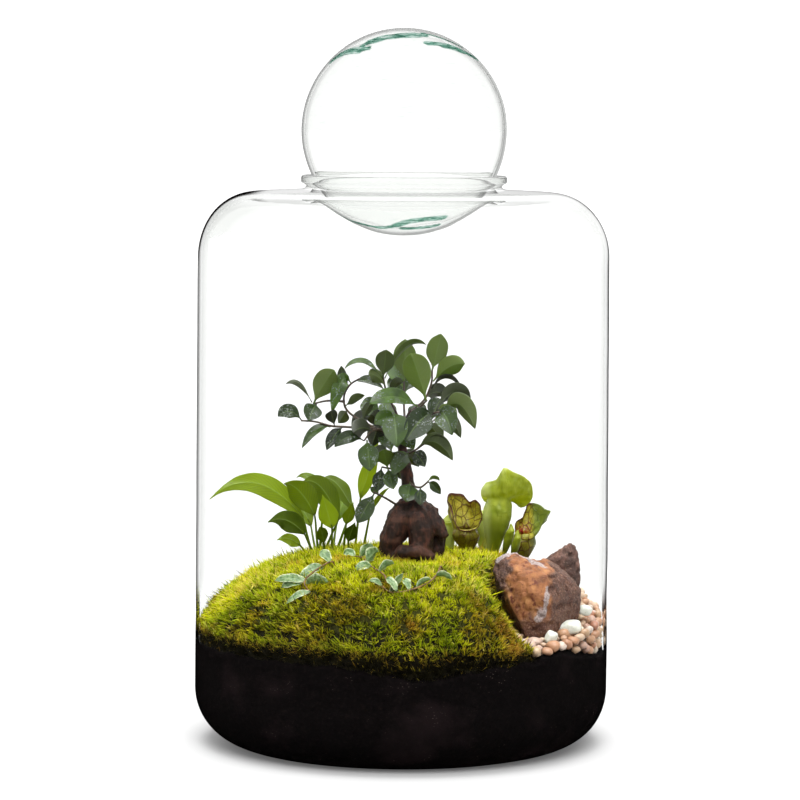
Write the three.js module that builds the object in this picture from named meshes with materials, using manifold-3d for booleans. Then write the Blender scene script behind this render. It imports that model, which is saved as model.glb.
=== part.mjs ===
// A bottle garden: a blown glass vessel with a hollow glass ball resting in its mouth.
// Inside, a moss-covered mound of dark soil carries a small bonsai fig, a peace lily, pitcher
// plants, creeping variegated fig, two brown stones and a strip of pale pebbles.
// Millimetres, +Z up, origin at the centre of the vessel's foot, -Y towards the viewer.
import * as THREE from "three";
import { mergeVertices } from "three/addons/utils/BufferGeometryUtils.js";
import { ConvexGeometry } from "three/addons/geometries/ConvexGeometry.js";
import Module from "manifold-3d";

const wasm = await Module();
wasm.setup();

// Driving dimensions of the glass
const SEGMENTS = 32; // round the vessel, the ball and the soil alike, so their facets stay parallel
const WALL = 3.2;
const FOOT_RADIUS = 110; // flat part of the base
const FLOOR = 5; // glass thickness of the base
const LOW_RADIUS = 151; // outer radius just above the base
const HIGH_RADIUS = 149.4; // outer radius just under the shoulder
const BASE_CORNER = 41;
const SHOULDER_Z = 356; // where the shoulder starts to curve in
const SHOULDER_ACROSS = 42;
const SHOULDER_RISE = 46.5;
const NECK_RADIUS = 70.8;
const LIP_RADIUS = 74.6;
const LIP_TOP = 414.4;
const SEAT_RADIUS = 66.2; // middle of the conical seat that carries the ball
const SEAT_Z = 411.6;
const BALL_RADIUS = 74.5;
const BALL_WALL = 2.6;
const VENT_RADIUS = 1.9; // blow hole under the ball
const GAP = 0.3; // running gap between touching pieces
const SLIVER = 0.08; // shorter edges, left where pieces are joined, are closed up
const BALL_Z = SEAT_Z + Math.sqrt((BALL_RADIUS + GAP) ** 2 - SEAT_RADIUS ** 2);

// Driving dimensions of the planting
const CROWN_Z = 137; // top of the moss mound
const EDGE_DROP = 47; // how far the mound falls towards the glass
const PLANT_RADIUS = 146; // furthest that anything but the soil reaches
const MOSS_DEPTH = 12;
const SOIL_RIM = HIGH_RADIUS - WALL;
const SOCKET_GAP = 0.45; // between a stem and the hole it stands in
const STEM_DEPTH = 7; // how deep a stem stands in the moss
const LEAF_THICK = 0.8;
const TWIG_RADIUS = 0.9;
const MOSS_EDGE = 88; // x at which the moss gives way to gravel
const MOSS_BAY = { depth: 18, y: -60, width: 35 }; // in front, where the rust stone stands
const MOSS_BULGE = { depth: 12, y: 15, width: 40 }; // beside the pitcher plants
const GRAVEL_Z = 86; // top of the gravel at the front glass
const GRAVEL_FRONT = -97;
const GRAVEL_RISE = 0.13; // towards the back
const GRAVEL_DEPTH = 5;
const GRAVEL_SPACING = 14.5;

// The front view that positions were read from: the photograph's 800 x 800 frame.
const VIEW = { axisX: 402.7, middle: 400, focal: 3510, distance: 2550, height: 472, tilt: 0.08646 };

const materials = {
  glass: paint(0xf2f7f5, 0.03, 0.35),
  ballGlass: paint(0xe6f3ee, 0.03, 0.4),
  soil: paint(0x17120f, 0.95),
  moss: paint(0x8fa51c, 0.9),
  bark: paint(0x3f2a22, 0.75),
  darkLeaf: paint(0x2c4a26, 0.35),
  freshLeaf: paint(0x5c8f1e, 0.4),
  pitcher: paint(0x7f9c33, 0.45),
  veinedPitcher: paint(0x8c7a34, 0.5),
  creeper: paint(0x7fa77a, 0.5),
  rustStone: paint(0x8d5233, 0.85),
  greyStone: paint(0x5f4740, 0.85),
  gravel: paint(0xcbb199, 0.6),
  quartz: paint(0xe4e2d6, 0.45),
};

function paint(color, roughness, opacity = 1) {
  return new THREE.MeshStandardMaterial({
    color,
    roughness,
    metalness: 0,
    opacity,
    transparent: opacity < 1,
  });
}

// Where a point of the front view lies, at a distance behind the vessel's axis.
function seen(px, py, back) {
  const drop = VIEW.tilt + Math.atan((py - VIEW.middle) / VIEW.focal);
  const away = VIEW.distance + back;
  const depth = away * (Math.cos(VIEW.tilt) + Math.tan(drop) * Math.sin(VIEW.tilt));
  const x = ((px - VIEW.axisX) * depth) / VIEW.focal;
  return new THREE.Vector3(x, back, VIEW.height - away * Math.tan(drop));
}

const smoothstep = (low, high, v) => THREE.MathUtils.smoothstep(v, low, high);
const lerp = THREE.MathUtils.lerp;

// Solids

// A closed skin over rows of points. A row of one point is a pole; longer end rows are capped.
// In a thin skin the second half of each row is split like the first, seen through the sheet.
function loft(rows, thin = false) {
  const points = rows.flat();
  const index = [];
  let start = 0;
  for (let i = 0; i + 1 < rows.length; i++) {
    const [a, b] = [rows[i].length, rows[i + 1].length];
    const next = start + a;
    for (let j = 0; j < Math.max(a, b); j++) {
      const k = (j + 1) % Math.max(a, b);
      const other = thin && a > 1 && b > 1 && j >= a / 2;
      if (a > 1) index.push(start + j, start + k, next + (b > 1 ? (other ? j : k) : 0));
      if (b > 1) index.push(start + (a > 1 ? (other ? k : j) : 0), next + k, next + j);
    }
    start = next;
  }
  const cap = (first, count, flip) => {
    for (let j = 1; j + 1 < count; j++)
      index.push(first, first + (flip ? j + 1 : j), first + (flip ? j : j + 1));
  };
  cap(0, rows[0].length, true);
  cap(start, rows.at(-1).length, false);
  const geometry = new THREE.BufferGeometry().setFromPoints(points);
  geometry.setIndex(index);
  return geometry;
}

// Any closed geometry as a solid that can be joined and cut.
function solid(geometry) {
  const bare = geometry.clone();
  bare.deleteAttribute("normal");
  bare.deleteAttribute("uv");
  const merged = mergeVertices(bare, 1e-4);
  const make = (triVerts) =>
    new wasm.Manifold(
      new wasm.Mesh({
        numProp: 3,
        vertProperties: new Float32Array(merged.attributes.position.array),
        triVerts,
      }),
    );
  const index = new Uint32Array(merged.index.array);
  const made = make(index);
  return made.volume() < 0 ? make(index.map((v, i) => index[i - (i % 3) + 2 - (i % 3)])) : made;
}

const joined = (parts) => parts.reduce((all, part) => all.add(part));
const largest = (whole) =>
  whole.decompose().reduce((best, body) => (body.volume() > best.volume() ? body : best));

function toMesh(name, body, material) {
  const made = body.simplify(SLIVER).getMesh();
  const geometry = new THREE.BufferGeometry();
  const positions = new Float32Array(made.vertProperties);
  geometry.setAttribute("position", new THREE.BufferAttribute(positions, 3));
  geometry.setIndex(new THREE.BufferAttribute(new Uint32Array(made.triVerts), 1));
  const flat = geometry.toNonIndexed();
  flat.computeVertexNormals();
  const mesh = new THREE.Mesh(flat, material);
  mesh.name = name;
  return mesh;
}

// A tapering tube along points, with one radius for each.
function tube(points, radii, sides, grow = 0) {
  const last = points.length - 1;
  const rows = points.map((p, i) => {
    const along = points[Math.min(i + 1, last)].clone();
    along.sub(points[Math.max(i - 1, 0)]).normalize();
    const end = i === 0 ? -grow : i === last ? grow : 0;
    const centre = p.clone().addScaledVector(along, end);
    const rough = Math.abs(along.z) > 0.8 ? new THREE.Vector3(0, 1, 0) : new THREE.Vector3(0, 0, 1);
    const u = rough.clone().cross(along).normalize();
    const v = along.clone().cross(u);
    return Array.from({ length: sides }, (_, k) => {
      const turn = (2 * Math.PI * k) / sides;
      const out = u.clone().multiplyScalar(Math.cos(turn)).addScaledVector(v, Math.sin(turn));
      return centre.clone().addScaledVector(out, radii[i] + grow);
    });
  });
  return solid(loft(rows));
}

// The glass

function arc(cx, cz, rx, rz, from, to, steps) {
  return Array.from({ length: steps + 1 }, (_, i) => {
    const a = THREE.MathUtils.degToRad(lerp(from, to, i / steps));
    return new THREE.Vector2(cx + rx * Math.cos(a), cz + rz * Math.sin(a));
  });
}

function turned(profile) {
  return solid(new THREE.LatheGeometry(profile, SEGMENTS).rotateX(Math.PI / 2));
}

const point = (r, z) => new THREE.Vector2(r, z);

function vessel() {
  const across = HIGH_RADIUS - SHOULDER_ACROSS;
  const slope = SEAT_RADIUS / (BALL_Z - SEAT_Z); // of the seat, square to the ball's radius there
  const seat = (side) => point(SEAT_RADIUS + side, SEAT_Z + side * slope);
  return turned([
    point(0, 0),
    ...arc(FOOT_RADIUS, BASE_CORNER, BASE_CORNER, BASE_CORNER, -90, 0, 5),
    ...arc(across, SHOULDER_Z, SHOULDER_ACROSS, SHOULDER_RISE, 0, 90, 5),
    point(NECK_RADIUS, LIP_TOP - 8),
    point(LIP_RADIUS, LIP_TOP - 5.6),
    point(LIP_RADIUS, LIP_TOP - 1.2),
    point(LIP_RADIUS - 1.2, LIP_TOP),
    point(SEAT_RADIUS + 1.9, LIP_TOP),
    seat(1.1),
    seat(-1.1),
    point(NECK_RADIUS - WALL - 1.2, LIP_TOP - 10.5),
    ...arc(across, SHOULDER_Z, SHOULDER_ACROSS - WALL, SHOULDER_RISE - WALL, 90, 0, 4),
    ...arc(FOOT_RADIUS, BASE_CORNER, BASE_CORNER - WALL, BASE_CORNER - FLOOR, 0, -90, 5),
    point(0, FLOOR),
  ]);
}

function ball() {
  const contact = Math.PI - Math.asin(SEAT_RADIUS / (BALL_RADIUS + GAP));
  const vent = Math.PI - Math.asin(VENT_RADIUS / BALL_RADIUS);
  const steps = 10;
  const above = 6; // steps down to the ring of contact, which is then a true ring of corners
  const angleAt = (i) =>
    i < above ? (contact * i) / above : lerp(contact, vent, (i - above) / (steps - above));
  const skin = (radiusAt) =>
    Array.from({ length: steps + 1 }, (_, i) => {
      const a = angleAt(i);
      return point(i ? radiusAt(a) * Math.sin(a) : 0, BALL_Z + radiusAt(a) * Math.cos(a));
    });
  // The gathered glass at both poles is thicker than the blown wall between them.
  const inside = skin((a) => BALL_RADIUS - BALL_WALL - 3.5 * Math.cos(a) ** 6);
  return turned([...skin(() => BALL_RADIUS), ...inside.reverse()]);
}

// The ground

const bell = (v, width) => Math.exp(-((v / width) ** 2));

// Plan line between the moss on the left and the pebbles on the right.
const mossEdge = (y) =>
  MOSS_EDGE -
  MOSS_BAY.depth * bell(y - MOSS_BAY.y, MOSS_BAY.width) +
  MOSS_BULGE.depth * bell(y - MOSS_BULGE.y, MOSS_BULGE.width);

function groundTop(x, y) {
  const mound = CROWN_Z - EDGE_DROP * Math.min(1, Math.hypot(x, y) / PLANT_RADIUS) ** 4;
  const pebbles = GRAVEL_Z + GRAVEL_RISE * (y - GRAVEL_FRONT);
  return lerp(mound, pebbles, smoothstep(-25, 8, x - mossEdge(y)));
}

function soilTop(x, y) {
  const dip = 9 * bell(x - 15, 40) * smoothstep(100, PLANT_RADIUS, -y); // at the front glass
  const wedge = 0.55 * Math.max(0, x - 112); // gravel deepens towards the right
  const depth = lerp(MOSS_DEPTH + dip, GRAVEL_DEPTH + wedge, smoothstep(-14, 0, x - mossEdge(y)));
  return groundTop(x, y) - depth;
}

// Two crossing waves, bent by slower ones, for the tufts, and a finer one over them.
function mossRelief(x, y) {
  const bentX = x * 0.29 + 1.3 * Math.sin(y * 0.21);
  const bentY = y * 0.27 + 1.1 * Math.sin(x * 0.17);
  return 1.7 * Math.sin(bentX) * Math.sin(bentY) + 0.8 * Math.sin(x * 0.57 + y * 0.43);
}

const mossTop = (x, y) => groundTop(x, y) + mossRelief(x, y);

// The first point of the moss that the front view shows at a pixel, raised by lift.
function onMoss(px, py, lift) {
  let back = -PLANT_RADIUS;
  let p = seen(px, py, back);
  while (p.z > mossTop(p.x, p.y) + lift && back < PLANT_RADIUS) {
    back += 0.5;
    p = seen(px, py, back);
  }
  return p;
}

function soil() {
  const wallRadius = (z) =>
    lerp(LOW_RADIUS, HIGH_RADIUS, (z - BASE_CORNER) / (SHOULDER_Z - BASE_CORNER)) - WALL - GAP;
  const ring = (radius, height) =>
    Array.from({ length: SEGMENTS }, (_, k) => {
      const a = (2 * Math.PI * k) / SEGMENTS;
      const [x, y] = [radius * Math.cos(a), radius * Math.sin(a)];
      const z = height(x, y);
      const fit = radius === SOIL_RIM ? wallRadius(z) / radius : 1; // the rim follows the glass
      return new THREE.Vector3(x * fit, y * fit, z);
    });
  const inner = BASE_CORNER - WALL - GAP;
  const low = arc(FOOT_RADIUS, BASE_CORNER, inner, BASE_CORNER - FLOOR - GAP, -90, 0, 5);
  return solid(
    loft([
      [new THREE.Vector3(0, 0, FLOOR + GAP)],
      ...low.map((p) => ring(p.x, () => p.y)),
      ...[SOIL_RIM, 128, 100, 65, 30].map((radius) => ring(radius, soilTop)),
      [new THREE.Vector3(0, 0, soilTop(0, 0))],
    ]),
  );
}

// A block that fills a plan region, seen from a centre inside it, up to a height for each point.
function patch(centre, inside, top, spokes, shares) {
  const reach = Array.from({ length: spokes }, (_, k) => {
    const a = (2 * Math.PI * k) / spokes;
    let r = 0;
    while (inside(centre.x + (r + 0.5) * Math.cos(a), centre.y + (r + 0.5) * Math.sin(a))) r += 0.5;
    return new THREE.Vector2(r * Math.cos(a), r * Math.sin(a));
  });
  const row = (share, height) =>
    reach.map((out) => {
      const [x, y] = [centre.x + share * out.x, centre.y + share * out.y];
      return new THREE.Vector3(x, y, height(x, y));
    });
  const bottom = 50;
  return solid(
    loft([
      [new THREE.Vector3(centre.x, centre.y, bottom)],
      row(1, () => bottom),
      ...shares.map((share) => row(share, top)),
      [new THREE.Vector3(centre.x, centre.y, top(centre.x, centre.y))],
    ]),
  );
}

const inVessel = (x, y) => Math.hypot(x, y) < PLANT_RADIUS;

function mossBlock() {
  const shares = [1, 0.96, 0.88, 0.78, 0.66, 0.53, 0.39, 0.22];
  const inside = (x, y) => inVessel(x, y) && x < mossEdge(y) - 1;
  return patch(new THREE.Vector2(-20, 0), inside, mossTop, 48, shares);
}

function gravelBlock() {
  const inside = (x, y) => inVessel(x, y) && x > mossEdge(y) + 1.5;
  const top = (x, y) => groundTop(x, y) - 3;
  return patch(new THREE.Vector2(124, 0), inside, top, 24, [1, 0.6]);
}

// Leaves and stems

// The point at a depth below a stem's foot, in line with the stem.
const sunkBy = (foot, towards, depth) =>
  foot.clone().addScaledVector(towards.clone().sub(foot).normalize(), -depth);

// A leaf as one thin body: a stalk from base, then a blade along an arched midrib to tip. rise is
// how far the midrib arches up. At turn 0 the blade faces the front, and turn rolls it about its
// midrib. outline gives [share of the length, half width as a share of width] from stalk to tip.
function leaf({ base, start, tip, rise = 0, width, turn = 0, outline }, grow = 0) {
  const blade = start ?? base;
  const top = blade.clone().lerp(tip, 0.5).add(new THREE.Vector3(0, 0, 2 * rise));
  const curve = new THREE.QuadraticBezierCurve3(blade, top, tip);
  const across = (t) => {
    const along = curve.getTangent(t);
    const facing = Math.abs(along.y) > 0.75 ? new THREE.Vector3(0, 0, 1) : new THREE.Vector3(0, 1, 0);
    const side = along.clone().cross(facing).normalize();
    side.applyAxisAngle(along, THREE.MathUtils.degToRad(turn));
    return { side, normal: side.clone().cross(along).normalize() };
  };
  const section = (p, { side, normal }, half, thick) =>
    [[1, 1], [-1, 1], [-1, -1], [1, -1]].map(([s, n]) =>
      p
        .clone()
        .addScaledVector(side, s * (half + grow))
        .addScaledVector(normal, n * (thick / 2 + grow)),
    );
  const rows = outline.map(([t, share]) =>
    section(curve.getPoint(t), across(t), Math.max(share * width, 0.5), LEAF_THICK),
  );
  if (start) rows.unshift(section(base, across(0), 0.9, 1.8));
  const back = (start ? start.clone().sub(base) : curve.getTangent(0)).setLength(grow);
  rows[0].forEach((p) => p.sub(back));
  const end = curve.getPoint(1).addScaledVector(curve.getTangent(1), grow);
  return solid(loft([...rows, [end]], true));
}

const FIG_OUTLINE = [[0, 0.03], [0.14, 0.08], [0.38, 0.45], [0.62, 0.5], [0.86, 0.26]];
const LILY_OUTLINE = [[0, 0.08], [0.14, 0.36], [0.32, 0.5], [0.52, 0.44], [0.72, 0.26], [0.88, 0.09]];
const CREEPER_OUTLINE = [[0, 0.1], [0.2, 0.36], [0.5, 0.5], [0.8, 0.32]];

// A leafy shoot: a twig through the given points, with its leaves.
function spray({ twig, leaves }, grow = 0) {
  const along = twig.map((p) => seen(...p));
  const radii = along.map((_, i) => TWIG_RADIUS - 0.3 * (i / along.length));
  return joined([
    tube(along, radii, 5, grow),
    ...leaves.map(([base, tip, rise, width, turn]) =>
      leaf(
        { base: seen(...base), tip: seen(...tip), rise, width, turn, outline: FIG_OUTLINE },
        grow,
      ),
    ),
  ]);
}

// Bonsai fig. Trunk limbs are [points as px, py, back; radii in mm].
const TRUNK = [
  {
    path: [
      [411, 508, 0], [411, 497, 0], [408, 480, -1], [405, 462, 0],
      [401, 442, 0], [404, 425, 2], [412, 410, 2],
    ],
    radii: [9, 5.6, 4.6, 3.9, 3.2, 2.5, 1.8],
  },
  {
    path: [[401, 442, 0], [390, 434, 2], [373, 428, 4]],
    radii: [2.4, 2, 1.4],
  },
  {
    path: [[409, 503, 0], [402, 517, -2], [397, 530, -3], [392, 541, -3], [390, 551, -3], [390, 566, -3]],
    radii: [7, 10, 9.6, 8.6, 7, 6],
  },
  {
    path: [[414, 503, -1], [419, 517, -6], [422, 531, -9], [422, 548, -10], [421, 566, -9]],
    radii: [7, 10, 9.6, 8.4, 7],
  },
  {
    path: [[414, 503, 2], [429, 516, 3], [437, 531, 2], [437, 548, 0], [433, 566, 0]],
    radii: [7, 9, 7.5, 7, 5.5],
  },
  {
    path: [[428, 513, -3], [439, 526, -7], [446, 537, -10]],
    radii: [7, 5.6, 3.6],
  },
  {
    path: [[413, 506, 4], [421, 524, 12], [421, 545, 16], [417, 566, 17]],
    radii: [7, 9, 7, 5.5],
  },
  {
    path: [[393, 563, -10], [403, 552, -15], [418, 551, -18], [434, 559, -13]],
    radii: [4, 5.4, 5.5, 4],
  },
];

function trunk(grow = 0) {
  return joined(
    TRUNK.map(({ path, radii }) =>
      tube(path.map((p) => seen(...p)), radii, 8, grow),
    ),
  );
}

// Leafy shoots of the fig. Points are [px, py, back]; leaves are [base, tip, rise, width, turn].
const SHOOTS = {
  lower_left: {
    twig: [[376, 429, 3], [345, 427, 0], [331, 426, -2], [316, 422, -3], [301, 421, -4]],
    leaves: [
      [[343, 427, 0], [327, 450, -8], 2, 9, 20],
      [[331, 427, -2], [302, 448, -8], 5, 8, 40],
      [[335, 426, -1], [330, 411, -12], 1, 9, 10],
      [[302, 421, -4], [278, 417, -6], 5, 11, 25],
    ],
  },
  upper_left: {
    twig: [[375, 428, 5], [358, 419, 8], [346, 409, 9], [344, 396, 8], [350, 385, 6], [359, 379, 5]],
    leaves: [
      [[347, 410, 9], [339, 423, 16], 0, 9, 15],
      [[345, 406, 9], [364, 395, 14], 0, 9, 45],
      [[351, 384, 6], [332, 413, -3], 12, 11, 0],
      [[344, 397, 8], [341, 366, 6], 0, 8, 10],
      [[362, 421, 8], [372, 403, 5], 2, 7, 10],
    ],
  },
  far_left: {
    twig: [[345, 402, 9], [328, 401, 8], [314, 404, 4]],
    leaves: [
      [[314, 404, 4], [334, 370, -4], 2, 17, 0],
      [[312, 403, 6], [286, 385, 2], 7, 5, 40],
      [[317, 404, 5], [309, 421, -6], 1, 14, 0],
    ],
  },
  middle_left: {
    twig: [[397, 439, 0], [384, 430, -8], [372, 431, -11], [364, 441, -13]],
    leaves: [
      [[372, 431, -11], [353, 433, -24], 3, 14, 0],
      [[364, 441, -13], [335, 447, -17], 5, 10, 25],
      [[367, 440, -13], [370, 471, -22], 1, 15, 0],
      [[382, 430, -9], [371, 414, -22], 2, 12, 0],
    ],
  },
  centre_left: {
    twig: [[404, 428, 2], [394, 408, 1], [386, 391, 0], [383, 377, -2]],
    leaves: [
      [[385, 386, -1], [368, 375, -8], 3, 11, 20],
      [[386, 391, 0], [356, 380, 8], 3, 9, 50],
      [[383, 379, -2], [344, 368, -8], 8, 8, 65],
      [[383, 377, -2], [386, 349, -12], 0, 14, 0],
      [[384, 378, -2], [426, 343, -2], 14, 10, 35],
      [[389, 397, 1], [403, 381, -10], 4, 8, 30],
    ],
  },
  crown_back: {
    twig: [[405, 423, 2], [404, 402, 12], [404, 381, 15]],
    leaves: [
      [[404, 381, 15], [405, 339, 13], 0, 17, 0],
      [[404, 399, 13], [386, 383, 22], 4, 12, 20],
      [[404, 390, 14], [391, 361, 28], 2, 14, 0],
      [[404, 394, 14], [421, 366, 28], 2, 14, 0],
    ],
  },
  crown_front: {
    twig: [[411, 412, 2], [420, 407, -7], [427, 400, -11]],
    leaves: [
      [[426, 400, -11], [410, 353, -26], 2, 20, 0],
      [[419, 407, -7], [369, 403, -23], 6, 14, 40],
    ],
  },
  crown_right: {
    twig: [[411, 411, 2], [424, 400, 6], [431, 384, 7], [432, 370, 6]],
    leaves: [
      [[432, 370, 6], [441, 333, 4], 0, 16, 0],
      [[433, 381, 7], [465, 363, 2], 4, 15, 10],
      [[431, 388, 7], [461, 386, 0], 7, 8, 60],
      [[425, 398, 7], [446, 396, 22], 4, 13, 20],
    ],
  },
  right: {
    twig: [[405, 423, 2], [425, 417, -5], [436, 412, -9], [444, 412, -7]],
    leaves: [
      [[434, 412, -9], [406, 441, -34], 4, 19, 0],
      [[443, 412, -7], [476, 428, -14], 12, 16, 25],
      [[439, 412, -8], [452, 434, -26], 5, 17, 0],
      [[444, 412, -7], [461, 437, 3], 3, 9, 0],
      [[436, 411, -8], [471, 402, 2], 11, 14, 30],
    ],
  },
  front: {
    twig: [[401, 440, 0], [395, 426, -12], [393, 413, -18]],
    leaves: [
      [[393, 413, -18], [397, 447, -36], 4, 19, 0],
      [[394, 421, -15], [375, 424, -30], 3, 13, 0],
      [[397, 431, -9], [414, 449, -26], 3, 13, 0],
    ],
  },
  middle_right: {
    twig: [[404, 455, 0], [414, 451, -5], [425, 443, -7]],
    leaves: [
      [[425, 443, -7], [450, 446, -10], 5, 7, 55],
      [[418, 448, -6], [453, 460, -13], 9, 13, 20],
      [[414, 451, -5], [425, 466, -16], 1, 11, 0],
      [[410, 453, -3], [393, 475, -21], 3, 12, 10],
    ],
  },
  low_left: {
    twig: [[406, 469, -1], [394, 469, -5], [382, 467, -6]],
    leaves: [
      [[382, 467, -6], [378, 491, -10], 0, 10, 10],
      [[388, 468, -6], [394, 489, -15], 0, 11, 0],
      [[388, 468, -6], [384, 449, -16], 0, 13, 0],
      [[396, 469, -4], [398, 451, -12], 0, 12, 0],
    ],
  },
  left_drop: {
    twig: [[401, 507, -2], [386, 498, -8], [374, 492, -9]],
    leaves: [
      [[375, 493, -9], [358, 523, -13], 0, 13, 0],
      [[380, 495, -9], [371, 487, -6], 0, 5, 20],
    ],
  },
  low_right: {
    twig: [[408, 479, -1], [413, 485, -8], [421, 487, -10], [429, 481, -11]],
    leaves: [
      [[428, 482, -11], [441, 494, -12], 2, 7, 10],
      [[428, 481, -11], [440, 480, -8], 2, 5, 50],
      [[421, 487, -10], [421, 505, -18], 0, 9, 0],
      [[411, 482, -6], [407, 501, -18], 0, 15, 0],
    ],
  },
  back_left: {
    twig: [[399, 441, 1], [386, 428, 18], [371, 419, 30]],
    leaves: [
      [[371, 419, 30], [352, 428, 40], 4, 13, 20],
      [[380, 424, 23], [372, 447, 36], 2, 13, 0],
      [[376, 422, 26], [364, 399, 36], 2, 13, 0],
      [[386, 428, 18], [388, 402, 34], 2, 14, 0],
    ],
  },
  back_right: {
    twig: [[403, 432, 1], [420, 428, 18], [434, 420, 29]],
    leaves: [
      [[434, 420, 29], [457, 417, 38], 4, 14, 20],
      [[428, 423, 24], [441, 442, 35], 2, 13, 0],
      [[431, 421, 27], [441, 399, 38], 2, 14, 0],
      [[420, 428, 18], [416, 404, 34], 2, 14, 0],
    ],
  },
  back_low: {
    twig: [[404, 458, 0], [398, 456, 18], [389, 452, 28]],
    leaves: [
      [[389, 452, 28], [372, 462, 37], 3, 13, 20],
      [[395, 455, 21], [401, 479, 34], 2, 12, 0],
      [[392, 453, 25], [385, 432, 36], 2, 14, 0],
      [[398, 456, 18], [419, 466, 32], 3, 13, 20],
    ],
  },
};

// Peace lily leaves: foot in the moss, start of the blade, tip, rise, width, turn.
const LILY = [
  [[312, 551, 41], [303, 518, 30], [209, 501, 8], 19, 17, 15],
  [[319, 550, 37], [315, 515, 27], [284, 484, 10], 6, 20, -10],
  [[327, 549, 43], [339, 519, 33], [302, 484, 20], 11, 18, 15],
  [[333, 551, 34], [333, 528, 24], [323, 495, 15], 0, 15, 0],
  [[314, 553, 33], [305, 534, 21], [268, 523, 4], 6, 16, 0],
  [[306, 552, 36], [301, 546, 28], [277, 541, 18], 3, 10, 30],
  [[321, 549, 47], [324, 500, 55], [296, 478, 62], 8, 12, 55],
  [[338, 550, 43], [352, 509, 45], [322, 480, 49], 8, 15, 40],
  [[344, 551, 39], [347, 524, 31], [354, 502, 21], 0, 9, 20],
  [[356, 549, 47], [361, 498, 43], [379, 437, 38], 0, 12, 10],
  [[364, 550, 43], [371, 512, 36], [391, 487, 28], 3, 4, 20],
  [[350, 552, 33], [349, 541, 25], [356, 522, 12], 0, 10, 0],
  [[326, 553, 29], [325, 543, 22], [320, 527, 8], 2, 9, 10],
  [[316, 549, 54], [311, 526, 66], [285, 505, 86], 8, 16, 20],
  [[334, 549, 55], [338, 521, 70], [352, 500, 92], 8, 15, 20],
];

// Pitchers: foot and mouth as [px, py, back], radius of the mouth, hood height and spread, the way
// the mouth faces in degrees from the front, and the way the hood leans across.
const PITCHERS = {
  tall: {
    foot: [494, 555, 30], mouth: [500, 497, 32],
    radius: 10, hood: 21, spread: 13, face: 180, lean: 6,
  },
  left: {
    foot: [469, 552, 36], mouth: [466, 528, 32],
    radius: 9.5, hood: 23, spread: 2, face: 0, lean: -3,
  },
  behind: {
    foot: [485, 552, 54], mouth: [480, 512, 57],
    radius: 6.5, hood: 8, spread: 2, face: 90, lean: 0,
  },
  small: {
    foot: [452, 551, 44], mouth: [448, 522, 46],
    radius: 5, hood: 7, spread: 1, face: -60, lean: 0,
  },
  right: {
    foot: [521, 566, 28], mouth: [526, 532, 26],
    radius: 8.5, hood: 20, spread: 4, face: -25, lean: 12,
  },
  young: {
    foot: [504, 557, 20], mouth: [512, 530, 10],
    radius: 3.2, hood: 3, spread: 0, face: 0, lean: 0,
  },
  younger: {
    foot: [513, 560, 14], mouth: [519, 537, 6],
    radius: 3, hood: 3, spread: 0, face: 0, lean: 0,
  },
};

// Share of the length, and radius as a share of the mouth's.
const PITCHER_SHAPE = [[0, 0.3], [0.22, 0.5], [0.5, 0.92], [0.75, 1.08], [1, 0.85]];
const PITCHER_BRIM = { middle: 0.85, rim: 0.9, flare: 0.35 }; // as shares of the mouth's radius
const PITCHER_WALL = 0.9;

function pitcher({ foot, mouth, radius, hood, spread, face, lean }) {
  const [low, high] = [seen(...foot), seen(...mouth)];
  const sides = radius > 9 ? 12 : 8;
  const ring = (t, r, lift, inside = 0) =>
    Array.from({ length: sides }, (_, k) => {
      const a = (2 * Math.PI * k) / sides;
      const behind = Math.max(0, -Math.cos(a)) ** 0.7; // 0 under the mouth, 1 at the hood's middle
      const flare = PITCHER_BRIM.flare * radius + spread * Math.abs(Math.sin(a)) * behind;
      const reach = r + lift * flare;
      const local = new THREE.Vector3(Math.sin(a) * reach, -Math.cos(a) * reach, 0);
      local.applyAxisAngle(new THREE.Vector3(0, 0, 1), THREE.MathUtils.degToRad(face));
      const out = low.clone().lerp(high, t).add(local);
      out.z += lift * hood * behind + inside * (1 - behind);
      out.x += lift * lean * behind;
      return out;
    });
  const wall = PITCHER_WALL;
  const [middle, rim] = [PITCHER_BRIM.middle * radius, PITCHER_BRIM.rim * radius];
  const outer = PITCHER_SHAPE.map(([t, share]) => ring(t, share * radius, 0));
  const inner = PITCHER_SHAPE.slice(1).map(([t, share]) => ring(t, share * radius - wall, 0, wall));
  const brim = [ring(1, middle, 0.5), ring(1, rim, 1)];
  const brimInside = [ring(1, rim - wall, 1, wall), ring(1, middle - wall, 0.5, wall)];
  const rows = [...outer, ...brim, ...brimInside, ...inner.reverse()];
  const cup = solid(loft([...rows, [low.clone().lerp(high, 0.15)]]));
  const stem = [sunkBy(low, high, STEM_DEPTH), low.clone().lerp(high, 0.08)];
  return cup.add(tube(stem, [0.28 * radius, 0.3 * radius], 8));
}

// The hole in the moss that a pitcher stands in, widening as the pitcher does.
function pitcherHole({ foot, mouth, radius }) {
  const [low, high] = [seen(...foot), seen(...mouth)];
  const along = [0, 0.22, 0.5].map((t) => low.clone().lerp(high, t));
  const radii = [0.28, 0.3, 0.5, 0.92].map((share) => share * radius);
  return tube([sunkBy(low, high, STEM_DEPTH), ...along], radii, 8, 1.6 * SOCKET_GAP);
}

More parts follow.
